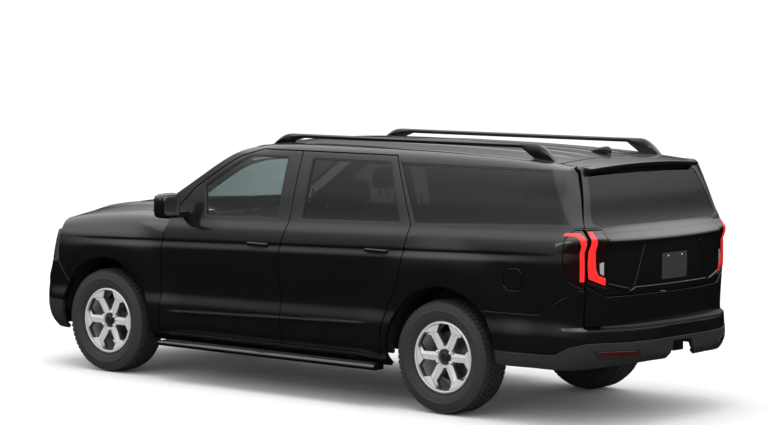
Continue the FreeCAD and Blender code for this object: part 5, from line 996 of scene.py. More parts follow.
def gates():
    """Liftgate with its glass and spoiler, and the drop gate."""
    top = level(0.945)
    shell = [(0.700, top)] + GATE_SIDE[1:3] + [(GATE_SIDE[3][0], LAMP_FOOT), (LAMP_INNER, GATE_FOOT)]
    upper = [(0.700, top), GATE_SIDE[1], (0.846, level(0.7205)), (LAMP_INNER - 0.001, level(0.7205)),
             (LAMP_INNER - 0.001, level(0.5085)), (0.8485, level(0.534)), (0.8505, LAMP_FOOT),
             (LAMP_INNER, GATE_FOOT)]
    hole = full_width([(y + 0.0005, z + 0.0005) for y, z in REAR_GLASS])
    drawn("liftgate_skin", *panel_data(TAIL, rear_run(full_width(upper)), [rear_run(eased(hole, 0.03))],
                                       depth=0.030), paint(), "liftgate", "paint", ("liftgate",))
    drawn("liftgate_lining", *panel_data(TAIL, rear_run(grown(full_width(shell), -0.012)),
          [rear_run(eased(grown(hole, 0.004), 0.03))], depth=0.008, start=0.034, pitch=(0.06, 0.04)),
          cabin_lining(), "liftgate", "plastic")
    drawn("rear_pane", *panel_data(TAIL, rear_run(eased(full_width(REAR_GLASS), 0.03)), depth=0.005,
                                   edge=0.0008,
          start=0.004), glass(True), "liftgate", "glass_tint", ("rear_glass",))
    border = grown(full_width(REAR_GLASS), -0.03)
    drawn("rear_glass_border", *panel_data(TAIL, rear_run(eased(full_width(REAR_GLASS), 0.03)),
          [rear_run(eased(border, 0.03))], depth=0.002, edge=0.0005, start=0.0095), black_trim(),
          "liftgate", "black_trim")
    xs = np.linspace(-2.262, -2.500, 9)
    left = [(float(x), float(roof_half(np.array([x]))[0]) - 0.006) for x in xs]
    rear = [(-2.500 - 0.028 * (1 - (y / 0.66) ** 2) if abs(y) < 0.66 else -2.48, float(y))
            for y in np.linspace(0.62, -0.62, 17)]
    outline = left + rear + [(x, -y) for x, y in reversed(left)]
    drawn("spoiler_skin", *panel_data(roof, eased(outline, 0.015), depth=0.030, edge=0.006,
                                      pitch=(0.03, 0.016)), paint(), "liftgate", "paint")
    drop = full_width([(LAMP_INNER, GATE_FOOT - 0.010), (GATE_SIDE[3][0], LAMP_FOOT - 0.010),
                       (GATE_SIDE[3][0], TAIL_FOOT)])
    drawn("drop_gate_skin", *panel_data(TAIL, rear_run(eased(drop, 0.01)), depth=0.012), paint(),
          "drop_gate", "paint", ("drop_gate",))
    inner = full_width([(LAMP_INNER, GATE_FOOT - 0.044), (GATE_SIDE[3][0] - 0.012, LAMP_FOOT - 0.044),
                        (GATE_SIDE[3][0] - 0.012, TAIL_FOOT + 0.012)])
    drawn("drop_gate_lining", *panel_data(TAIL, rear_run(inner), depth=0.030, start=0.013,
                                          pitch=(0.06, 0.04)),
          cabin_lining(), "drop_gate", "plastic")


def fuel_flap():
    """The flap over the filler on the left side."""
    drawn("fuel_door_skin", *panel_data(side, run_at(closed(eased(grown(FUEL, -INSET), 0.02))),
                                        depth=0.010), paint(), "fuel_door", "paint", ("fuel_door",))


def up_at(z):
    """Distance along the section at the rear corner for a height."""
    samples = np.linspace(0, KNOTS[False][-1], 500)
    return float(np.interp(z, lift(np.full(500, -CORNER), samples), samples))


def spanned(top, low):
    """A loop across the car from its left half's upper and lower edges, each from the side inwards."""
    return (top + [(2 * MIDDLE - u, v) for u, v in reversed(top)]
            + [(2 * MIDDLE - u, v) for u, v in low]
            + list(reversed(low)))


def tidy(points):
    """The outline without doubled points."""
    out = []
    for p in points:
        if not out or math.dist(p, out[-1]) > 0.0008:
            out.append(p)
    return out if math.dist(out[0], out[-1]) > 0.0008 else out[:-1]


def lens(name, colour, glow=0.0, rough=0.12):
    """A glossy lamp finish, lit where it glows."""
    return finish(name, colour, rough, coat=1.0, scale=60, variation=0.15, spread=0.02, glow=glow)


def tail_lamps():
    """Lenses on the body and the liftgate, with their lit bars."""
    edge = [(0.856, level(0.719)), (0.8585, level(0.63)), (0.8585, level(0.514))]
    front_part = unroll(split(lamp_front(INSET)), tail_x, -1)
    rear_part = unroll(split(edge[::-1]), tail_x, -1, rear=True)
    outer = tidy(front_part + rear_part)
    gate = [(LAMP_INNER + 0.001, level(0.511)), (0.846, level(0.5365)), (0.8475, level(0.63)),
            (0.8365, level(0.7185)), (LAMP_INNER + 0.001, level(0.7185))]
    gate = rear_run(gate)
    dark = lens("Dark lens", (0.010, 0.003, 0.003))
    red = lens("Lit red lens", bpy.context.scene.vehicle_colours.tail_light, 0.25, 0.3)
    drawn("tail_lamp_lenses", *both(panel_data(TAIL, eased(outer, 0.008), depth=0.026, edge=0.004)),
          dark, "body", "lamp_red", ("tail_lamps",))
    drawn("gate_lamp_lenses", *both(panel_data(TAIL, eased(gate, 0.008), depth=0.024, edge=0.004)),
          dark, "liftgate", "lamp_red", ("gate_lamps",))
    seam = [unroll([(y, z)], tail_x, -1, rear=True)[0] for y, z in
            [(0.862, z) for z in np.linspace(level(0.535), level(0.706), 12)]]
    top = seam[-1]
    hook = [(u - 0.006, v) for u, v in seam[:-2]] + [(top[0] - 0.012, top[1] - 0.004),
                                                     (top[0] - 0.030, top[1] + 0.010)]
    hook += [(top[0] - 0.135, top[1] + 0.010), (top[0] - 0.150, top[1] - 0.012),
             (top[0] - 0.060, top[1] - 0.016)]
    hook += [(top[0] - 0.044, top[1] - 0.030)] + [(u - 0.040, v) for u, v in seam[:-3][::-1]]
    drawn("outer_light_bars", *both(panel_data(TAIL, eased(hook, 0.006), depth=0.006, edge=0.001,
                                               start=-0.0022)), red, "body", "lamp_red")
    outer_edge = [unroll([(y, z)], tail_x, -1, rear=True)[0] for y, z in
                  ((0.840, level(0.545)), (0.842, level(0.63)), (0.839, level(0.68)),
                   (0.831, level(0.714)))]
    inner_edge = [unroll([(y, z)], tail_x, -1, rear=True)[0] for y, z in
                  ((0.796, level(0.714)), (0.792, level(0.68)), (0.785, level(0.63)),
                   (0.783, level(0.580)), (0.764, level(0.556)), (LAMP_INNER + 0.006, level(0.545)),
                   (LAMP_INNER + 0.006, level(0.518)))]
    drawn("gate_light_bars", *both(panel_data(TAIL, eased(outer_edge + inner_edge, 0.008), depth=0.006,
                                              edge=0.001,
                                              start=-0.0022)), red, "liftgate", "lamp_red")
    clear = rear_run([(0.722, level(0.555)), (0.752, level(0.562)), (0.756, level(0.600)),
                      (0.722, level(0.604))])
    drawn("reverse_lamps", *both(panel_data(TAIL, eased(clear, 0.005), depth=0.006, edge=0.001,
                                            start=-0.0022)),
          lens("Clear lens", (0.30, 0.31, 0.32), 0.05), "liftgate", "lamp_clear")


def rear_bumper():
    """Bumper skin, cladding, step pad and reflectors."""
    bump = wrap(bumper_x, -1)
    seam_turn = math.degrees(math.asin((level(0.4080) - GAP - TYRE) / ARCH))
    line = [(-1.90, 0.500), (-2.30, 0.500), (-2.43, 0.508), (-2.52, 0.560)]
    low_turn = math.degrees(math.asin((0.500 - TYRE) / ARCH))
    rising = arch(REAR_AXLE, ARCH, 180 - low_turn, 180 - seam_turn, 16)
    top = unroll(split(rising + [(x, z - GAP) for x, z in BUMPER_SEAM]), bumper_x, -1)
    high = level(0.504) - GAP
    top += unroll([(y, high) for y in (0.90, 0.875, 0.859)], bumper_x, -1, rear=True)
    top += unroll([(0.859, z) for z in np.linspace(high - 0.02, 0.690, 14)], bumper_x, -1, rear=True)
    top += unroll([(y, 0.676) for y in np.linspace(0.850, 0.0, 28)], bumper_x, -1, rear=True)
    low = unroll(split(line), bumper_x, -1)
    low += unroll([(y, z) for y, z in ((0.86, 0.588), (0.80, 0.590), (0.6, 0.590), (0.3, 0.590),
                                       (0.0, 0.590))], bumper_x, -1, rear=True)
    drawn("rear_bumper_skin", *panel_data(bump, tidy(spanned(tidy(top), tidy(low))), depth=0.030,
                                          pitch=(0.03, 0.009)),
          paint(), "body", "paint", ("rear_bumper",))
    foot_turn = math.degrees(math.asin(0.0001 / ARCH))
    rise = arch(REAR_AXLE, ARCH, 180 - foot_turn, 180 - low_turn, 6)
    upper = unroll(split([rise[-1]] + [(x, z - 0.002) for x, z in line[1:]]), bumper_x, -1)
    upper += unroll([(y, z) for y, z in ((0.86, 0.586), (0.80, 0.588), (0.6, 0.588), (0.3, 0.588),
                                         (0.0, 0.588))], bumper_x, -1, rear=True)
    lower = unroll(split([rise[0], (-1.99, 0.402), (-2.35, 0.402)]), bumper_x, -1)
    lower += unroll([(y, z) for y, z in ((0.92, 0.404), (0.80, 0.410), (0.6, 0.430), (0.35, 0.440),
                                         (0.17, 0.440))], bumper_x, -1, rear=True)
    lower += unroll([(y, z) for y, z in ((0.125, 0.520), (0.110, 0.560), (0.0, 0.560))], bumper_x, -1,
                    rear=True)
    drawn("rear_cladding", *panel_data(bump, tidy(spanned(tidy(upper), tidy(lower))), depth=0.034,
                                       edge=0.004,
                                       start=-0.004, pitch=(0.03, 0.012)), cladding(), "body",
                                       "plastic")

    def pad(u, v):
        run = MIDDLE - np.clip(u, -1.2, 1.2)
        front = bump(run, np.full(len(run), up_at(0.675)))
        back = bump(run, np.full(len(run), up_at(0.6905)))
        share = np.clip(v / 0.09, 0, 1)[:, None]
        points = front * (1 - share) + back * share
        points[:, 2] = 0.672 + 0.006 * share[:, 0]
        return points
    outline = [(-0.74, 0.004), (0.74, 0.004), (0.74, 0.086), (-0.74, 0.086)]
    drawn("step_pad", *panel_data(pad, eased(outline, 0.01), depth=0.02, edge=0.002, pitch=(0.03, 0.02),
                                  sign=1), cladding(), "body", "plastic")
    behind = rear_run([(-0.80, 0.640), (0.80, 0.640), (0.80, 0.705), (-0.80, 0.705)])
    drawn("bumper_lining", *panel_data(TAIL, behind, depth=0.006, edge=0.001, start=0.055,
                                       pitch=(0.06, 0.04)), dark_inside(), "body", "plastic")
    ridges = [panel_data(pad, [(-0.60, v), (0.60, v), (0.60, v + 0.006), (-0.60, v + 0.006)],
                         depth=0.004, edge=0.001,
                         start=-0.003, pitch=(0.1, 0.01), sign=1) for v in (0.024, 0.040, 0.056)]
    drawn("step_ridges", *joined(*ridges), black_trim(), "body", "black_trim")
    mirrors = unroll(closed([(0.500, 0.492), (0.775, 0.500), (0.800, 0.530), (0.530, 0.527)]), bumper_x,
                     -1, rear=True)
    drawn("rear_reflectors", *both(panel_data(bump, eased(mirrors, 0.006), depth=0.008, edge=0.002,
                                              start=-0.007)),
          lens("Dark red reflector", (0.045, 0.002, 0.002), 0.0, 0.25), "body", "lamp_red")
    recess = unroll(closed([(0.470, 0.478), (0.80, 0.486), (0.83, 0.545), (0.50, 0.541)]), bumper_x, -1,
                    rear=True)
    drawn("reflector_frames", *both(panel_data(bump, eased(recess, 0.01),
                                               [eased(grown(mirrors, 0.002), 0.006)],
          depth=0.004, edge=0.0015, start=-0.0055)), black_trim(), "body", "black_trim")


def gate_details():
    """Blank plate with its bolts, the recess round it, the handle ledge and the mouldings beside the
    ledge.
    """
    plate = rear_run([(-0.155, 0.985), (0.155, 0.985), (0.155, 1.165), (-0.155, 1.165)])
    drawn("blank_plate", *panel_data(TAIL, eased(plate, 0.008), depth=0.004, edge=0.001, start=-0.005),
          finish("Plain grey plate", (0.030, 0.030, 0.031), 0.45, scale=200), "liftgate", "plastic")
    ledge = rear_run([(-0.50, 0.925), (0.50, 0.925), (0.44, 0.955), (-0.44, 0.955)])
    drawn("gate_ledge", *panel_data(TAIL, eased(ledge, 0.008), depth=0.012, edge=0.005, start=-0.011),
          paint(), "liftgate", "paint")
    arms = rear_run([(0.505, 0.926), (0.690, 0.972), (0.690, 0.990), (0.500, 0.948)])
    drawn("gate_mouldings", *both(panel_data(TAIL, eased(arms, 0.004), depth=0.008, edge=0.004,
                                             start=-0.007)), paint(), "liftgate", "paint")
    sides = rear_run([(0.34, 1.235), (0.355, 1.235), (0.452, 0.962), (0.436, 0.960)])
    drawn("recess_edges", *both(panel_data(TAIL, eased(sides, 0.003), depth=0.005, edge=0.003,
                                           start=-0.004)), paint(), "liftgate", "paint")

    def bolts(bm):
        for y in (-0.085, 0.085):
            x = float(TAIL(np.array([MIDDLE - abs(y)]), np.array([up_at(1.145)]))[0, 0]) - 0.005
            bmesh.ops.create_uvsphere(bm, u_segments=16, v_segments=8, radius=0.006,
                                      matrix=Matrix.Translation((x, y, 1.145)))
    solid("plate_bolts", bolts, bright_metal(), "liftgate", bevel=0)


def superbox(bm, low, high, power=4.0, count=10, shape=None):
    """A closed crowned box between two corners."""
    before = set(bm.verts)
    bmesh.ops.create_cube(bm, size=2)
    new = [v for v in bm.verts if v not in before]
    edges = list({e for v in new for e in v.link_edges})
    bmesh.ops.subdivide_edges(bm, edges=edges, cuts=count, use_grid_fill=True)
    low, high = Vector(low), Vector(high)
    centre, half = (low + high) / 2, (high - low) / 2
    for v in [v for v in bm.verts if v not in before]:
        p = v.co
        size = (abs(p.x) ** power + abs(p.y) ** power + abs(p.z) ** power) ** (1 / power)
        q = p / size
        v.co = centre + Vector((q.x * half.x, q.y * half.y, q.z * half.z))
        if shape:
            v.co = Vector(shape(v.co.copy()))


def seats():
    """Three rows of padded seats on their mounts."""
    leather = finish("Dark seat leather", (0.018, 0.018, 0.020), 0.5, scale=350, variation=0.2,
                     bump=0.3)
    rows = (("front", 0.560, (0.39, -0.39), 0.52, 0.584 + 0.35, 0.584, "front_seats"),
            ("second_row", -0.420, (0.39, -0.39), 0.52, 0.584 + 0.35, 0.584, "second_row_seats"),
            ("third_row", -1.450, (0.0,), 1.16, 0.696 + 0.26, 0.696, "third_row_seat"))
    for name, x, centres, width, top, floor, node in rows:
        rear = x - 0.26
        back = 0.62 if name != "third_row" else 0.60
        low = top - 0.13

        def lean(p, foot=low):
            return p.x - 0.2 * (p.z - foot), p.y, p.z

        def cushions(bm):
            for y in centres:
                superbox(bm, (rear + 0.01, y - width / 2, low),
                         (rear + 0.52, y + width / 2, top + 0.004), 5)

        def backs(bm):
            for y in centres:
                superbox(bm, (rear, y - width / 2, low + 0.01),
                         (rear + 0.118, y + width / 2, low + back), 4.5, shape=lean)
                spread, half = ((-0.36, 0.0, 0.36), 0.11) if len(centres) == 1 else ((0,), 0.13)
                for dy in spread:
                    superbox(bm, (rear, y + dy - half, low + back + 0.035),
                             (rear + 0.092, y + dy + half, low + back + 0.20), 3.5, 6, lean)

        def posts(bm):
            for y in centres:
                for dy in (-0.045, 0.045):
                    p = (rear + 0.045 - 0.2 * back, y + dy, low + back + 0.02)
                    bmesh.ops.create_cone(bm, cap_ends=True, segments=12, radius1=0.007, radius2=0.007,
                                          depth=0.10, matrix=Matrix.Translation(p))
                brick(bm, (rear + 0.09, y - width / 3, floor + 0.001),
                      (rear + 0.44, y + width / 3, low + 0.04))
        solid(f"{name}_cushions", cushions, leather, "body", (node,), bevel=0)
        solid(f"{name}_backs", backs, leather, "body", bevel=0)
        solid(f"{name}_seat_mounts", posts, dark_inside(), "body", bevel=0.003)


def dashboard():
    """Dashboard with its screen, column and steering wheel."""
    shares = [(1.0, 0.48), (1.0, 0.637), (0.4, 0.645), (0.0, 0.62), (0.0, 0.53), (0.3, 0.47)]
    trim = finish("Dashboard cover", (0.014, 0.014, 0.015), 0.6, scale=400, bump=0.2)

    def board(bm):
        slab(bm, [(1.040 + x * 0.3155, -0.73, level(z)) for x, z in shares], (0, 1.46, 0))
        slab(bm, [(0.84, 0.358, 1.15 - 0.03), (1.06, 0.358, 1.10 - 0.03), (1.06, 0.358, 1.10 + 0.03),
                  (0.84, 0.358, 1.15 + 0.03)], (0, 0.064, 0))
        brick(bm, (1.028, -0.12, 1.10), (1.045, 0.12, 1.235))
    solid("dashboard_body", board, trim, "body", ("dashboard",), bevel=0.012)

    def wheel(bm):
        count, segments = 48, 10
        for i in range(count):
            a = 2 * math.pi * i / count
            for j in range(segments):
                b = 2 * math.pi * j / segments
                r = 0.174 + 0.014 * math.cos(b)
                bm.verts.new((0.842 + 0.014 * math.sin(b), 0.39 + r * math.sin(a),
                              1.15 + r * math.cos(a)))
        bm.verts.ensure_lookup_table()
        for i in range(count):
            for j in range(segments):
                k, m = (i + 1) % count, (j + 1) % segments
                corners = (i * segments + j, k * segments + j, k * segments + m, i * segments + m)
                bm.faces.new([bm.verts[q] for q in corners])
        brick(bm, (0.830, 0.22, 1.125), (0.852, 0.56, 1.160))
    solid("steering_wheel", wheel, dark_inside(), "body", bevel=0.004)


def nose():
    """Head lamps, grille, front bumper and cladding."""
    top = float(bonnet_edge(np.array([0.955 * FRONT]))[0]) - 0.020
    low = level(0.447) + GAP
    turn = math.degrees(math.asin((level(0.372) - GAP - TYRE) / ARCH))
    clear = lens("Head lamp lens", (0.05, 0.052, 0.056), 0.0, 0.08)
    lamp = unroll(split([(2.447, top), (2.447, low)]), nose_x, 1, True)
    inner = unroll([(0.561, z) for z in np.linspace(low, top, 8)], nose_x, 1, True, rear=True)
    outline = tidy(lamp + unroll([(y, low) for y in (0.85, 0.8, 0.7)], nose_x, 1, True, rear=True)
                   + inner
                   + unroll([(y, top) for y in (0.7, 0.8, 0.85)], nose_x, 1, True, rear=True))
    drawn("head_lamp_lenses", *both(panel_data(NOSE, eased(outline, 0.01), depth=0.03, edge=0.004)),
          clear, "body", "lamp_clear", ("head_lamps",))
    span = [unroll([(y, z)], nose_x, 1, True, rear=True)[0] for y, z in
            [(y, low + 0.115) for y in (0.88, 0.80, 0.70, 0.60, 0.58)]
            + [(y, low + 0.135) for y in (0.58, 0.60, 0.70, 0.80, 0.88)]]
    drawn("running_lights", *both(panel_data(NOSE, span, depth=0.006, edge=0.002, start=-0.003)),
          lens("Lit clear lens", (0.8, 0.82, 0.85), 1.0, 0.2), "body", "lamp_clear")
    edge = [unroll([(0.557, z)], nose_x, 1, True, rear=True)[0] for z in np.linspace(low, top, 10)]
    loop = tidy(edge[::-1] + [(2 * MIDDLE - u, v) for u, v in edge])
    slots = []
    bar = (top - low - 0.04) / 9
    for i in range(4):
        z = low + 0.02 + (2 * i + 1) * bar
        pts = [unroll([(y, h)], nose_x, 1, True, rear=True)[0] for y, h in
               ((0.50, z), (0.0, z), (-0.50, z), (-0.50, z + bar), (0.0, z + bar), (0.50, z + bar))]
        slots.append(eased(pts, 0.006))
    drawn("grille_frame", *panel_data(NOSE, loop, slots, depth=0.03, edge=0.003), black_trim(), "body",
          "black_trim", ("grille",))
    drawn("grille_mesh", *panel_data(NOSE, grown(loop, -0.02), depth=0.004, start=0.034,
                                     pitch=(0.06, 0.04)), dark_inside(), "body", "black_trim")
    seam = arch(FRONT_AXLE, ARCH, math.degrees(math.asin(0.13 / ARCH)), turn, 10)
    upper = unroll(split(seam + [(x, z - GAP) for x, z in FRONT_SEAM]), nose_x, 1, True)
    upper += unroll([(y, low - 0.007) for y in np.linspace(0.84, 0.0, 20)], nose_x, 1, True, rear=True)
    middle = unroll(split([(2.36, 0.535), (2.40, 0.535)]), nose_x, 1, True)
    middle += unroll([(y, 0.535) for y in np.linspace(0.84, 0.0, 16)], nose_x, 1, True, rear=True)
    drawn("front_bumper_skin", *panel_data(NOSE, tidy(spanned(tidy(upper), tidy(middle))), depth=0.03,
                                           pitch=(0.03, 0.014)),
          paint(), "body", "paint", ("front_bumper",))
    begin = arch(FRONT_AXLE, ARCH, -12.1, math.degrees(math.asin(0.128 / ARCH)), 10)
    upper = unroll(split(begin), nose_x, 1, True)
    upper += unroll([(y, 0.532) for y in np.linspace(0.84, 0.0, 16)], nose_x, 1, True, rear=True)
    lower = unroll([(y, 0.302) for y in np.linspace(0.84, 0.0, 16)], nose_x, 1, True, rear=True)
    drawn("front_cladding", *panel_data(NOSE, tidy(spanned(tidy(upper), tidy(lower))), depth=0.03,
                                        edge=0.004,
                                        pitch=(0.03, 0.014)), cladding(), "body", "plastic")


RAIL_SECTION = [(-1, 0), (1, 0), (1, 0.7), (0.6, 1), (-0.6, 1), (-1, 0.7)]


def trim():
    """Roof rails, running boards, mirrors and door handles."""
    def rails(bm):
        for hand in (1, -1):
            start, end, foot, top = 0.420, -2.190, 0.220, 1.912
            low = top - 0.030
            xs = list(np.linspace(start, start - foot * 0.8,
                                  6)) + list(np.linspace(start - 1.3 * foot, end + 1.3 * foot, 14))
            xs += list(np.linspace(end + 0.8 * foot, end, 6))
            outer, inner = [], []
            for x in xs:
                near = min(start - x, x - end)
                crest = float(roof(np.array([x]), np.array([0.645]))[0, 2]) - 0.002
                share = min(1, near / (0.8 * foot))
                outer.append((x, crest + (top - crest) * (share * share * (3 - 2 * share)) ** 0.5))
                inner.append((x, low if near >= 1.29 * foot else crest))
            loops = []
            for (x, high), (_, base) in zip(outer, inner):
                base = min(base, high - 0.004)
                loops.append([bm.verts.new((x, hand * (0.645 + dy * 0.021), base + (high - base) * dz))
                              for dy, dz in RAIL_SECTION])
            skinned(bm, loops)
    solid("roof_rail_bars", rails, paint(), "body", ("roof_rails",), bevel=0.002)

    def boards(bm):
        for hand in (1, -1):
            slab(bm, [(-0.905, hand * y, z) for y, z in
                      ((0.948, 0.270), (1.050, 0.270), (1.066, 0.284), (1.066, 0.296), (1.052, 0.310),
                       (0.948, 0.310))], (2.150, 0, 0))
            for x in (-0.545, 0.170, 0.885):
                brick(bm, (x - 0.03, min(hand * 0.475, hand * 0.96), 0.272),
                      (x + 0.03, max(hand * 0.475, hand * 0.96), 0.290))
    solid("running_board_steps", boards, paint(), "body", ("running_boards",),
          bevel=0.006)

    def treads(bm):
        for hand in (1, -1):
            for y in (0.965, 0.985, 1.005, 1.025):
                brick(bm, (-0.86, min(hand * y, hand * (y + 0.010)), 0.309),
                      (1.20, max(hand * y, hand * (y + 0.010)), 0.3135))
    solid("running_board_treads", treads, cladding(), "body", bevel=0.0015)
    for hand, side_name in ((1, "left"), (-1, "right")):
        def shell(bm, hand=hand):
            rings = []
            for y, grow in ((1.023, 0.70), (1.030, 0.90), (1.055, 1.0), (1.12, 1.0), (1.19, 0.97),
                            (1.222, 0.88), (1.233, 0.62)):
                ring = []
                for i in range(28):
                    a = 2 * math.pi * i / 28
                    c, s = math.cos(a), math.sin(a)
                    px = 0.048 * grow * math.copysign(abs(c) ** 0.55, c)
                    pz = 0.095 * grow * math.copysign(abs(s) ** 0.5, s)
                    ring.append(bm.verts.new((1.085 + px + 0.006 * (1 - grow), hand * y, 1.352 + pz)))
                rings.append(ring)
            skinned(bm, rings)
            inner = float(half_width(np.array([1.085]), np.array([1.275]))[0]) - 0.004
            brick(bm, (1.053, min(hand * inner, hand * 1.075), 1.258),
                  (1.116, max(hand * inner, hand * 1.075), 1.300))
        solid(f"mirror_shell_{side_name}", shell, paint(), f"front_door_{side_name}",
              (f"mirror_{side_name}",), bevel=0.0, smooth_angle=60)

        def pane(bm, hand=hand):
            superbox(bm, (1.034, min(hand * 1.045, hand * 1.205), 1.280),
                     (1.040, max(hand * 1.045, hand * 1.205), 1.425), 6, 8)
        solid(f"mirror_glass_{side_name}", pane, finish("Mirror glass", (0.75, 0.76, 0.78), 0.03, 1.0,
                                                        scale=3, variation=0.02),
              f"front_door_{side_name}", bevel=0)
    for name, x, z in (("front", 0.295, 1.0998), ("rear", -0.850, 1.1218)):
        for hand, side_name in ((1, "left"), (-1, "right")):
            def grip(bm, hand=hand, x=x, z=z):
                rings = []
                base = float(half_width(np.array([x]), np.array([z]))[0])
                for i in range(17):
                    t = i / 16
                    px = x - 0.1075 + 0.215 * t
                    rise = min(1, 6 * t, 6 * (1 - t))
                    mid = base + 0.004 + 0.022 * (rise * rise * (3 - 2 * rise))
                    high = 0.013 * (0.75 + 0.25 * rise)
                    ring = []
                    for j in range(16):
                        c, s = math.cos(2 * math.pi * j / 16), math.sin(2 * math.pi * j / 16)
                        out, up = math.copysign(abs(c) ** 0.7, c), math.copysign(abs(s) ** 0.7, s)
                        ring.append(bm.verts.new((px, hand * (mid + 0.0085 * out), z + high * up)))
                    rings.append(ring)
                skinned(bm, rings)
            # The handle's recess is not cut into the door: a flat dark sheet laid on the paint stands
            # for it, as painted shade of the recess.
            ring = run_at(closed(eased([(x - 0.085, z - 0.045), (x + 0.085, z - 0.045),
                                        (x + 0.085, z + 0.008), (x - 0.085, z + 0.008)], 0.024)))
            recess_shade = panel_data(side, ring, depth=0.003, edge=0.001, start=-0.0008)
            drawn(f"{name}_handle_recess_shade_{side_name}", *(recess_shade if hand > 0 else flipped(recess_shade)), black_trim(),
                  f"{name}_door_{side_name}", "black_trim")
            solid(f"{name}_handle_{side_name}", grip, paint(), f"{name}_door_{side_name}",
                  bevel=0, smooth_angle=60)


# Wheels. A wheel's own face is drawn in x and z about its hub, with y outwards.

def wheel_depth(x, z):
    """Height of a wheel's face: dished towards the hub."""
    r = np.hypot(x, z)
    return smooth(np.array([0.0, 0.06, 0.10, 0.17, 0.22, 0.240]),
                  np.array([0.083, 0.083, 0.084, 0.090, 0.098, 0.100]), r)


def wheel_face(x, z):
    return np.stack([x, wheel_depth(x, z), z], 1)


def polar(radius, degrees):
    """A point at an angle from the top of the wheel."""
    return radius * math.sin(math.radians(degrees)), radius * math.cos(math.radians(degrees))


def turned(points, degrees, flip=False):
    """Points (across, outwards) of a spoke's own frame, turned about the hub."""
    a = math.radians(degrees)
    if flip:
        points = [(-x, z) for x, z in points]
    return [(x * math.cos(a) + z * math.sin(a), -x * math.sin(a) + z * math.cos(a)) for x, z in points]


def facet(slope, degrees):
    """The wheel's face, tilted across a spoke."""
    a = math.radians(degrees)

    def surface(x, z):
        across = x * math.cos(a) - z * math.sin(a)
        return np.stack([x, wheel_depth(x, z) + slope * across, z], 1)
    return surface


RIM, LIP, SPOKES = 0.238, 0.236, 6
WINDOW = [(0.017, 0.092), (0.066, 0.172), (0.044, 0.229)]


def wheels():
    """Wheels with windows, facets, nuts and brake discs, and their tyres."""
    window = WINDOW + [(-x, z) for x, z in reversed(WINDOW)]
    step = 360 // SPOKES
    holes = [eased(turned(window, step * k), 0.010) for k in range(SPOKES)]
    rim = ring_of(RIM, 0, 0, 72)
    base = panel_data(wheel_face, rim, holes, depth=0.034, edge=0.002, start=0.011, pitch=(0.02, 0.02),
                      sign=-1)
    left_window = turned(WINDOW, -step // 2)
    right_window = turned([(-x, z) for x, z in WINDOW], step // 2)
    a_in, a_mid, a_out = left_window
    b_in, b_mid, b_out = right_window
    start = math.degrees(math.atan2(a_out[0], a_out[1]))
    finish_turn = math.degrees(math.atan2(b_out[0], b_out[1]))
    seam_end = polar(LIP, finish_turn - 3)
    pad = [a_mid, a_out] + [polar(LIP, t) for t in np.linspace(start + 1, finish_turn - 3, 9)]
    hub = polar(0.060, 0)
    cut = ((a_mid[0] + 0.35 * (seam_end[0] - a_mid[0])), (a_mid[1] + 0.35 * (seam_end[1] - a_mid[1])))
    left = [polar(0.058, -22), a_in, a_mid, cut, hub]
    right = [hub, cut, seam_end] + [polar(LIP, t)
                                    for t in np.linspace(finish_turn - 2, finish_turn + 2, 3)]
    right += [b_out, b_mid, b_in, polar(0.058, 22)]
    faces = []
    for k in range(SPOKES):
        flip, spoke = k % 2 == 1, step // 2 + step * k
        for outline, slope in ((pad, 0.10), (left, 0.30), (right, -0.30)):
            points = grown(tidy(turned(outline, spoke, flip)), -0.0016)
            tilt = facet(-slope if flip else slope, spoke)
            faces.append(panel_data(tilt, points, depth=0.018, edge=0.0008, pitch=(0.03, 0.03),
                                    start=-0.004, sign=-1, back=False))
    bright = joined(*faces)
    for where, axle in (("front", FRONT_AXLE), ("rear", REAR_AXLE)):
        for hand, side_name in ((1, "left"), (-1, "right")):
            def put(data, hand=hand, axle=axle):
                points, shapes, directions = data if hand > 0 else flipped(data)
                return points + np.array([axle, hand * TRACK, TYRE]), shapes, directions
            body = f"wheel_{where}_{side_name}"
            drawn(f"{body}_dish", *put(base), grey_metal(), body, "alloy", (body,))
            drawn(f"{body}_face", *put(bright), bright_metal(), body, "alloy")

            def barrel(bm, hand=hand, axle=axle):
                profile = [(RIM, 0.107), (0.247, 0.109), (0.254, 0.104), (0.254, -0.106),
                           (0.245, -0.106), (0.240, 0.060)]
                lathe(bm, [(r, hand * y) for r, y in profile], 72, (axle, hand * TRACK, TYRE))
            solid(f"{body}_rim", barrel, bright_metal(), body, bevel=0.0012)

            def fittings(bm, hand=hand, axle=axle):
                for i in range(SPOKES):
                    x, z = polar(0.0675, step * i)
                    lathe(bm, [(0.0001, hand * 0.066), (0.0115, hand * 0.066), (0.0115, hand * 0.094),
                               (0.008, hand * 0.1005),
                               (0.0001, hand * 0.102)], 12, (axle + x, hand * TRACK, TYRE + z))
            solid(f"{body}_nuts", fittings, finish("Chrome", (0.85, 0.85, 0.85), 0.15, 0.4, scale=50,
                                                   variation=0.02), body,
                  bevel=0, smooth_angle=40)

            def cap(bm, hand=hand, axle=axle):
                lathe(bm, [(0.0001, hand * 0.066), (0.034, hand * 0.066), (0.034, hand * 0.088),
                           (0.028, hand * 0.0925),
                           (0.0001, hand * 0.0915)], 32, (axle, hand * TRACK, TYRE))
            solid(f"{body}_cap", cap, black_trim(), body, bevel=0.001)

            def disc(bm, hand=hand, axle=axle):
                lathe(bm, [(0.060, hand * -0.007), (0.175, hand * -0.007), (0.175, hand * 0.000),
                           (0.100, hand * 0.001), (0.092, hand * 0.045), (0.060, hand * 0.045)], 64,
                           (axle, hand * TRACK, TYRE))
            solid(f"{body}_disc", disc, finish("Brake steel", (0.35, 0.35, 0.36), 0.35, 1.0, scale=200),
                  body, bevel=0.001)
            tyre(f"tyre_{where}_{side_name}", body, axle, hand)


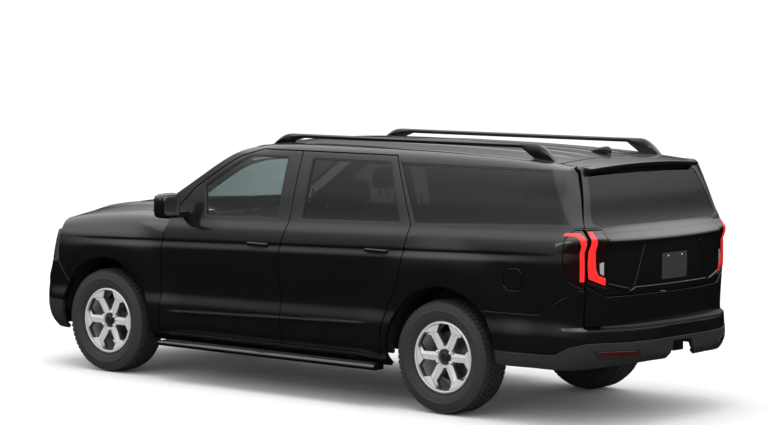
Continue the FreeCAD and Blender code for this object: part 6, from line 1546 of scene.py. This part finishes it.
def tyre(node, body, axle, hand):
    """Sidewalls with rings, and a tread of separate blocks."""
    rubber = finish("Tyre rubber", (0.022, 0.022, 0.023), 0.72, scale=250, variation=0.25, bump=0.15)

    def carcass(bm):
        floor = 0.405 - bpy.context.scene.vehicle_sizes.tread_depth
        half = [(0.250, 0.098), (0.262, 0.110), (0.270, 0.109), (0.273, 0.115), (0.290, 0.124),
                (0.293, 0.127), (0.297, 0.127),
                (0.300, 0.128), (0.322, 0.1355), (0.325, 0.1375), (0.329, 0.1375), (0.332, 0.1345),
                (0.350, 0.132), (0.372, 0.124), (0.388, 0.112), (floor, 0.096)]
        grooves = [(floor, 0.060), (floor, 0.0), (floor, -0.060)]
        profile = half + grooves + [(r, -y) for r, y in reversed(half)]
        lathe(bm, [(r, hand * y) for r, y in profile], 96, (axle, hand * TRACK, TYRE))
    solid(node + "_carcass", carcass, rubber, body, (node,), bevel=0, smooth_angle=50)

    def blocks(bm):
        count = 64
        rows = ((-0.118, -0.074, 0), (-0.068, -0.026, 0.5), (-0.020, 0.020, 0.2), (0.026, 0.068, 0.7),
                (0.074, 0.118, 0.3))
        for y0, y1, shift in rows:
            for i in range(count):
                a, b = 2 * math.pi * (i + shift) / count, 2 * math.pi * (i + shift + 0.78) / count
                skew = 0.10 * 2 * math.pi / count
                loops = []
                for radius_low, out in ((0.390, 0), (0.405, 1)):
                    loop = []
                    for angle, y in ((a, y0), (b, y0), (b + skew, y1), (a + skew, y1)):
                        r = radius_low - (0.012 if abs(y) > 0.10 else 0.0)
                        if not out:
                            r -= 0.004
                        loop.append(bm.verts.new((axle + r * math.sin(angle), hand * TRACK + y,
                                                  TYRE + r * math.cos(angle))))
                    loops.append(loop)
                low, high = loops
                bm.faces.new(high)
                for j in range(4):
                    k = (j + 1) % 4
                    bm.faces.new((low[j], low[k], high[k], high[j]))
    solid(node + "_tread", blocks, rubber, body, bevel=0, smooth_angle=20)


def frame_finishes():
    """Finishes for the CAD pieces that show as they are."""
    looks = {"chassis": finish("Black chassis paint", (0.012, 0.012, 0.012), 0.5, scale=80, bump=0.1),
             "iron": finish("Cast iron", (0.05, 0.048, 0.046), 0.65, 0.6, scale=120, bump=0.2),
             "plastic": dark_inside()}
    slots = {"front_liners": "plastic", "rear_liners": "plastic", "ladder_frame": "chassis",
             "floor_pan": "chassis",
             "engine": "iron", "front_suspension": "iron", "rear_axle": "iron",
             "hitch_receiver": "chassis", "knuckle_left": "iron", "knuckle_right": "iron"}
    for name, kind in slots.items():
        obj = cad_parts[name]
        obj.data.materials.clear()
        obj.data.materials.append(looks[kind])


def stage():
    """Floor, world, lights and camera."""
    scene = bpy.context.scene
    mesh = bpy.data.meshes.new("floor")
    mesh.from_pydata([(-60, -60, 0), (60, -60, 0), (60, 60, 0), (-60, 60, 0)], [], [(0, 1, 2, 3)])
    floor = bpy.data.objects.new("floor", mesh)
    mesh.materials.append(finish("Pale floor", (0.94, 0.94, 0.94), 0.7, scale=2, variation=0.01,
                                 specular=0.1))
    scene.collection.objects.link(floor)
    floor.visible_glossy = False
    world = bpy.data.worlds.new("Studio")
    scene.world = world
    scene.view_settings.view_transform = "Standard"
    world.use_nodes = True
    nodes, links = world.node_tree.nodes, world.node_tree.links
    background = nodes["Background"]
    place, split_xyz = nodes.new("ShaderNodeTexCoord"), nodes.new("ShaderNodeSeparateXYZ")
    ramp = nodes.new("ShaderNodeValToRGB")
    links.new(place.outputs["Generated"], split_xyz.inputs[0])
    links.new(split_xyz.outputs["Z"], ramp.inputs[0])
    stops = ((0.0, 0.0), (0.05, 0.06), (0.25, 0.34), (0.50, 1.2), (1.0, 2.4))
    ramp.color_ramp.elements[0].position = stops[0][0]
    ramp.color_ramp.elements[1].position = stops[-1][0]
    ramp.color_ramp.elements[0].color = (0, 0, 0, 1)
    ramp.color_ramp.elements[1].color = (2.4, 2.4, 2.4, 1)
    for position, value in stops[1:-1]:
        ramp.color_ramp.elements.new(position).color = (value, value, value, 1)
    links.new(ramp.outputs[0], background.inputs["Color"])
    white = nodes.new("ShaderNodeBackground")
    white.inputs["Color"].default_value = (1, 1, 1, 1)
    white.inputs["Strength"].default_value = 1.12
    path, mix = nodes.new("ShaderNodeLightPath"), nodes.new("ShaderNodeMixShader")
    links.new(path.outputs["Is Glossy Ray"], mix.inputs[0])
    links.new(white.outputs[0], mix.inputs[1])
    links.new(background.outputs[0], mix.inputs[2])
    links.new(mix.outputs[0], nodes["World Output"].inputs[0])
    for name, place, aim, size, power in (("overhead", (0, 1.0, 7.0), (0, 0, 0), (9.0, 5.0), 260),
                                          ("side_strip", (-1.0, 11.0, 5.0), (0, 0, 1.2), (9.0, 0.8),
                                           60)):
        data = bpy.data.lights.new(name, "AREA")
        data.shape, data.size, data.size_y, data.energy = "RECTANGLE", size[0], size[1], power
        lamp = bpy.data.objects.new(name, data)
        lamp.location = place
        lamp.rotation_euler = (Vector(aim) - Vector(place)).to_track_quat("-Z", "Y").to_euler()
        scene.collection.objects.link(lamp)
        lamp.visible_glossy = name != "overhead"
    yaw, pitch, roll = math.radians(-50.379), math.radians(-4.239), math.radians(0.354)
    forward = Vector((math.cos(pitch) * math.cos(yaw), math.cos(pitch) * math.sin(yaw),
                      math.sin(pitch)))
    right = Vector((math.sin(yaw), -math.cos(yaw), 0))
    up = right.cross(forward)
    c, s = math.cos(roll), math.sin(roll)
    right, up = right * c + up * s, up * c - right * s
    data = bpy.data.cameras.new("Camera")
    data.lens, data.sensor_width, data.shift_x, data.shift_y = 122.87, 36.0, 0.00227, -0.00027
    data.clip_end = 200
    camera = bpy.data.objects.new("Camera", data)
    scene.collection.objects.link(camera)
    turn = Matrix((right, up, -forward)).transposed().to_4x4()
    camera.matrix_world = Matrix.Translation((-12.771, 15.309, 2.777)) @ turn
    scene.camera = camera


class VehicleColours(bpy.types.PropertyGroup):
    """Colours of the main finishes."""
    paint: FloatVectorProperty(name="Paint", description="Body paint", default=(0.0035, 0.0036, 0.004),
                               subtype="COLOR", min=0, max=1)
    cladding: FloatVectorProperty(name="Cladding", description="Grained plastic low on the bumpers",
                                  default=(0.013, 0.0135, 0.0145), subtype="COLOR", min=0, max=1)
    alloy: FloatVectorProperty(name="Wheel face", description="Machined faces of the wheels",
                               default=(0.70, 0.70, 0.71), subtype="COLOR", min=0, max=1)
    clear_glass: FloatVectorProperty(name="Front glass", description="Windscreen and front door glass",
                                     default=(0.42, 0.50, 0.49), subtype="COLOR", min=0, max=1)
    tail_light: FloatVectorProperty(name="Tail lights", description="Lit bars of the tail lamps",
                                    default=(0.85, 0.012, 0.010), subtype="COLOR", min=0, max=1)
    privacy_glass: FloatVectorProperty(name="Privacy glass", description="Rear side and rear glass",
                                       default=(0.035, 0.038, 0.040), subtype="COLOR", min=0, max=1)


class VehicleSizes(bpy.types.PropertyGroup):
    """Small sizes of the dressed pieces."""
    edge_roll: FloatProperty(name="Edge roll", description="Radius of the rolled edge round a panel",
                             default=0.0025, min=0.001, max=0.006, unit="LENGTH")
    tread_depth: FloatProperty(name="Tread depth",
                               description="Depth of the grooves between the tread blocks",
                               default=0.0095, min=0.002, max=0.012, unit="LENGTH")
    bonnet_ridge: FloatProperty(name="Bonnet ridge",
                                description="Height of the ridges along the bonnet", default=0.012,
                                min=0, max=0.02, unit="LENGTH")
    roof_rib: FloatProperty(name="Roof rib", description="Height of the ribs at the rear of the roof",
                            default=0.005, min=0, max=0.01, unit="LENGTH")


class BuildBody(bpy.types.Operator):
    """Body sides, wings, bonnet, roof and fuel door."""
    bl_idname = "vehicle.body"
    bl_label = "Body"

    def execute(self, context):
        body_and_wings()
        bonnet_and_roof()
        fuel_flap()
        return {"FINISHED"}


class BuildDoors(bpy.types.Operator):
    """The four doors with their glass."""
    bl_idname = "vehicle.doors"
    bl_label = "Doors"

    def execute(self, context):
        doors()
        return {"FINISHED"}


class BuildGlass(bpy.types.Operator):
    """Windscreen and rear quarter windows."""
    bl_idname = "vehicle.glass"
    bl_label = "Fixed glass"

    def execute(self, context):
        quarter_glass()
        windscreen()
        return {"FINISHED"}


class BuildGates(bpy.types.Operator):
    """Liftgate with its glass and spoiler, and the drop gate."""
    bl_idname = "vehicle.gates"
    bl_label = "Rear gates"

    def execute(self, context):
        gates()
        gate_details()
        return {"FINISHED"}


class BuildLamps(bpy.types.Operator):
    """Tail lamps on the body and the liftgate."""
    bl_idname = "vehicle.lamps"
    bl_label = "Tail lamps"

    def execute(self, context):
        tail_lamps()
        return {"FINISHED"}


class BuildBumpers(bpy.types.Operator):
    """Rear bumper, front bumper, grille and head lamps."""
    bl_idname = "vehicle.bumpers"
    bl_label = "Bumpers and nose"

    def execute(self, context):
        rear_bumper()
        nose()
        return {"FINISHED"}


class BuildTrim(bpy.types.Operator):
    """Roof rails, running boards, mirrors and door handles."""
    bl_idname = "vehicle.trim"
    bl_label = "Rails, boards and mirrors"

    def execute(self, context):
        trim()
        return {"FINISHED"}


class BuildWheels(bpy.types.Operator):
    """Wheels, brake discs and tyres."""
    bl_idname = "vehicle.wheels"
    bl_label = "Wheels"

    def execute(self, context):
        wheels()
        return {"FINISHED"}


class BuildCabin(bpy.types.Operator):
    """Seats, dashboard and steering wheel."""
    bl_idname = "vehicle.cabin"
    bl_label = "Cabin"

    def execute(self, context):
        seats()
        dashboard()
        return {"FINISHED"}


class FinishUnderbody(bpy.types.Operator):
    """Finishes of the frame, axles, engine and liners."""
    bl_idname = "vehicle.underbody"
    bl_label = "Underbody finishes"

    def execute(self, context):
        frame_finishes()
        return {"FINISHED"}


class SetStage(bpy.types.Operator):
    """Floor, world, lights and camera."""
    bl_idname = "vehicle.stage"
    bl_label = "Stage"

    def execute(self, context):
        stage()
        return {"FINISHED"}


OPERATORS = (BuildBody, BuildDoors, BuildGlass, BuildGates, BuildLamps, BuildBumpers,
             BuildTrim, BuildWheels, BuildCabin, FinishUnderbody, SetStage)


class VehiclePanel(bpy.types.Panel):
    """Colours, sizes and pieces of the vehicle."""
    bl_idname = "VEHICLE_PT_pieces"
    bl_label = "Long utility vehicle"
    bl_space_type = "VIEW_3D"
    bl_region_type = "UI"
    bl_category = "Vehicle"

    def draw(self, context):
        for group in (context.scene.vehicle_colours, context.scene.vehicle_sizes):
            for name in group.bl_rna.properties.keys():
                if name not in ("rna_type", "name"):
                    self.layout.prop(group, name)
        for operator in OPERATORS:
            self.layout.operator(operator.bl_idname)


CLASSES = (VehicleColours, VehicleSizes) + OPERATORS + (VehiclePanel,)


def register():
    for item in CLASSES:
        bpy.utils.register_class(item)
    bpy.types.Scene.vehicle_colours = PointerProperty(type=VehicleColours)
    bpy.types.Scene.vehicle_sizes = PointerProperty(type=VehicleSizes)


def unregister():
    del bpy.types.Scene.vehicle_sizes
    del bpy.types.Scene.vehicle_colours
    for item in reversed(CLASSES):
        bpy.utils.unregister_class(item)


def main():
    """Builds every piece in order."""
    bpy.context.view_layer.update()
    register()
    bpy.ops.vehicle.body()
    bpy.ops.vehicle.doors()
    bpy.ops.vehicle.glass()
    bpy.ops.vehicle.gates()
    bpy.ops.vehicle.lamps()
    bpy.ops.vehicle.bumpers()
    bpy.ops.vehicle.trim()
    bpy.ops.vehicle.wheels()
    bpy.ops.vehicle.cabin()
    bpy.ops.vehicle.underbody()
    bpy.ops.vehicle.stage()


if __name__ == "__main__":
    main()
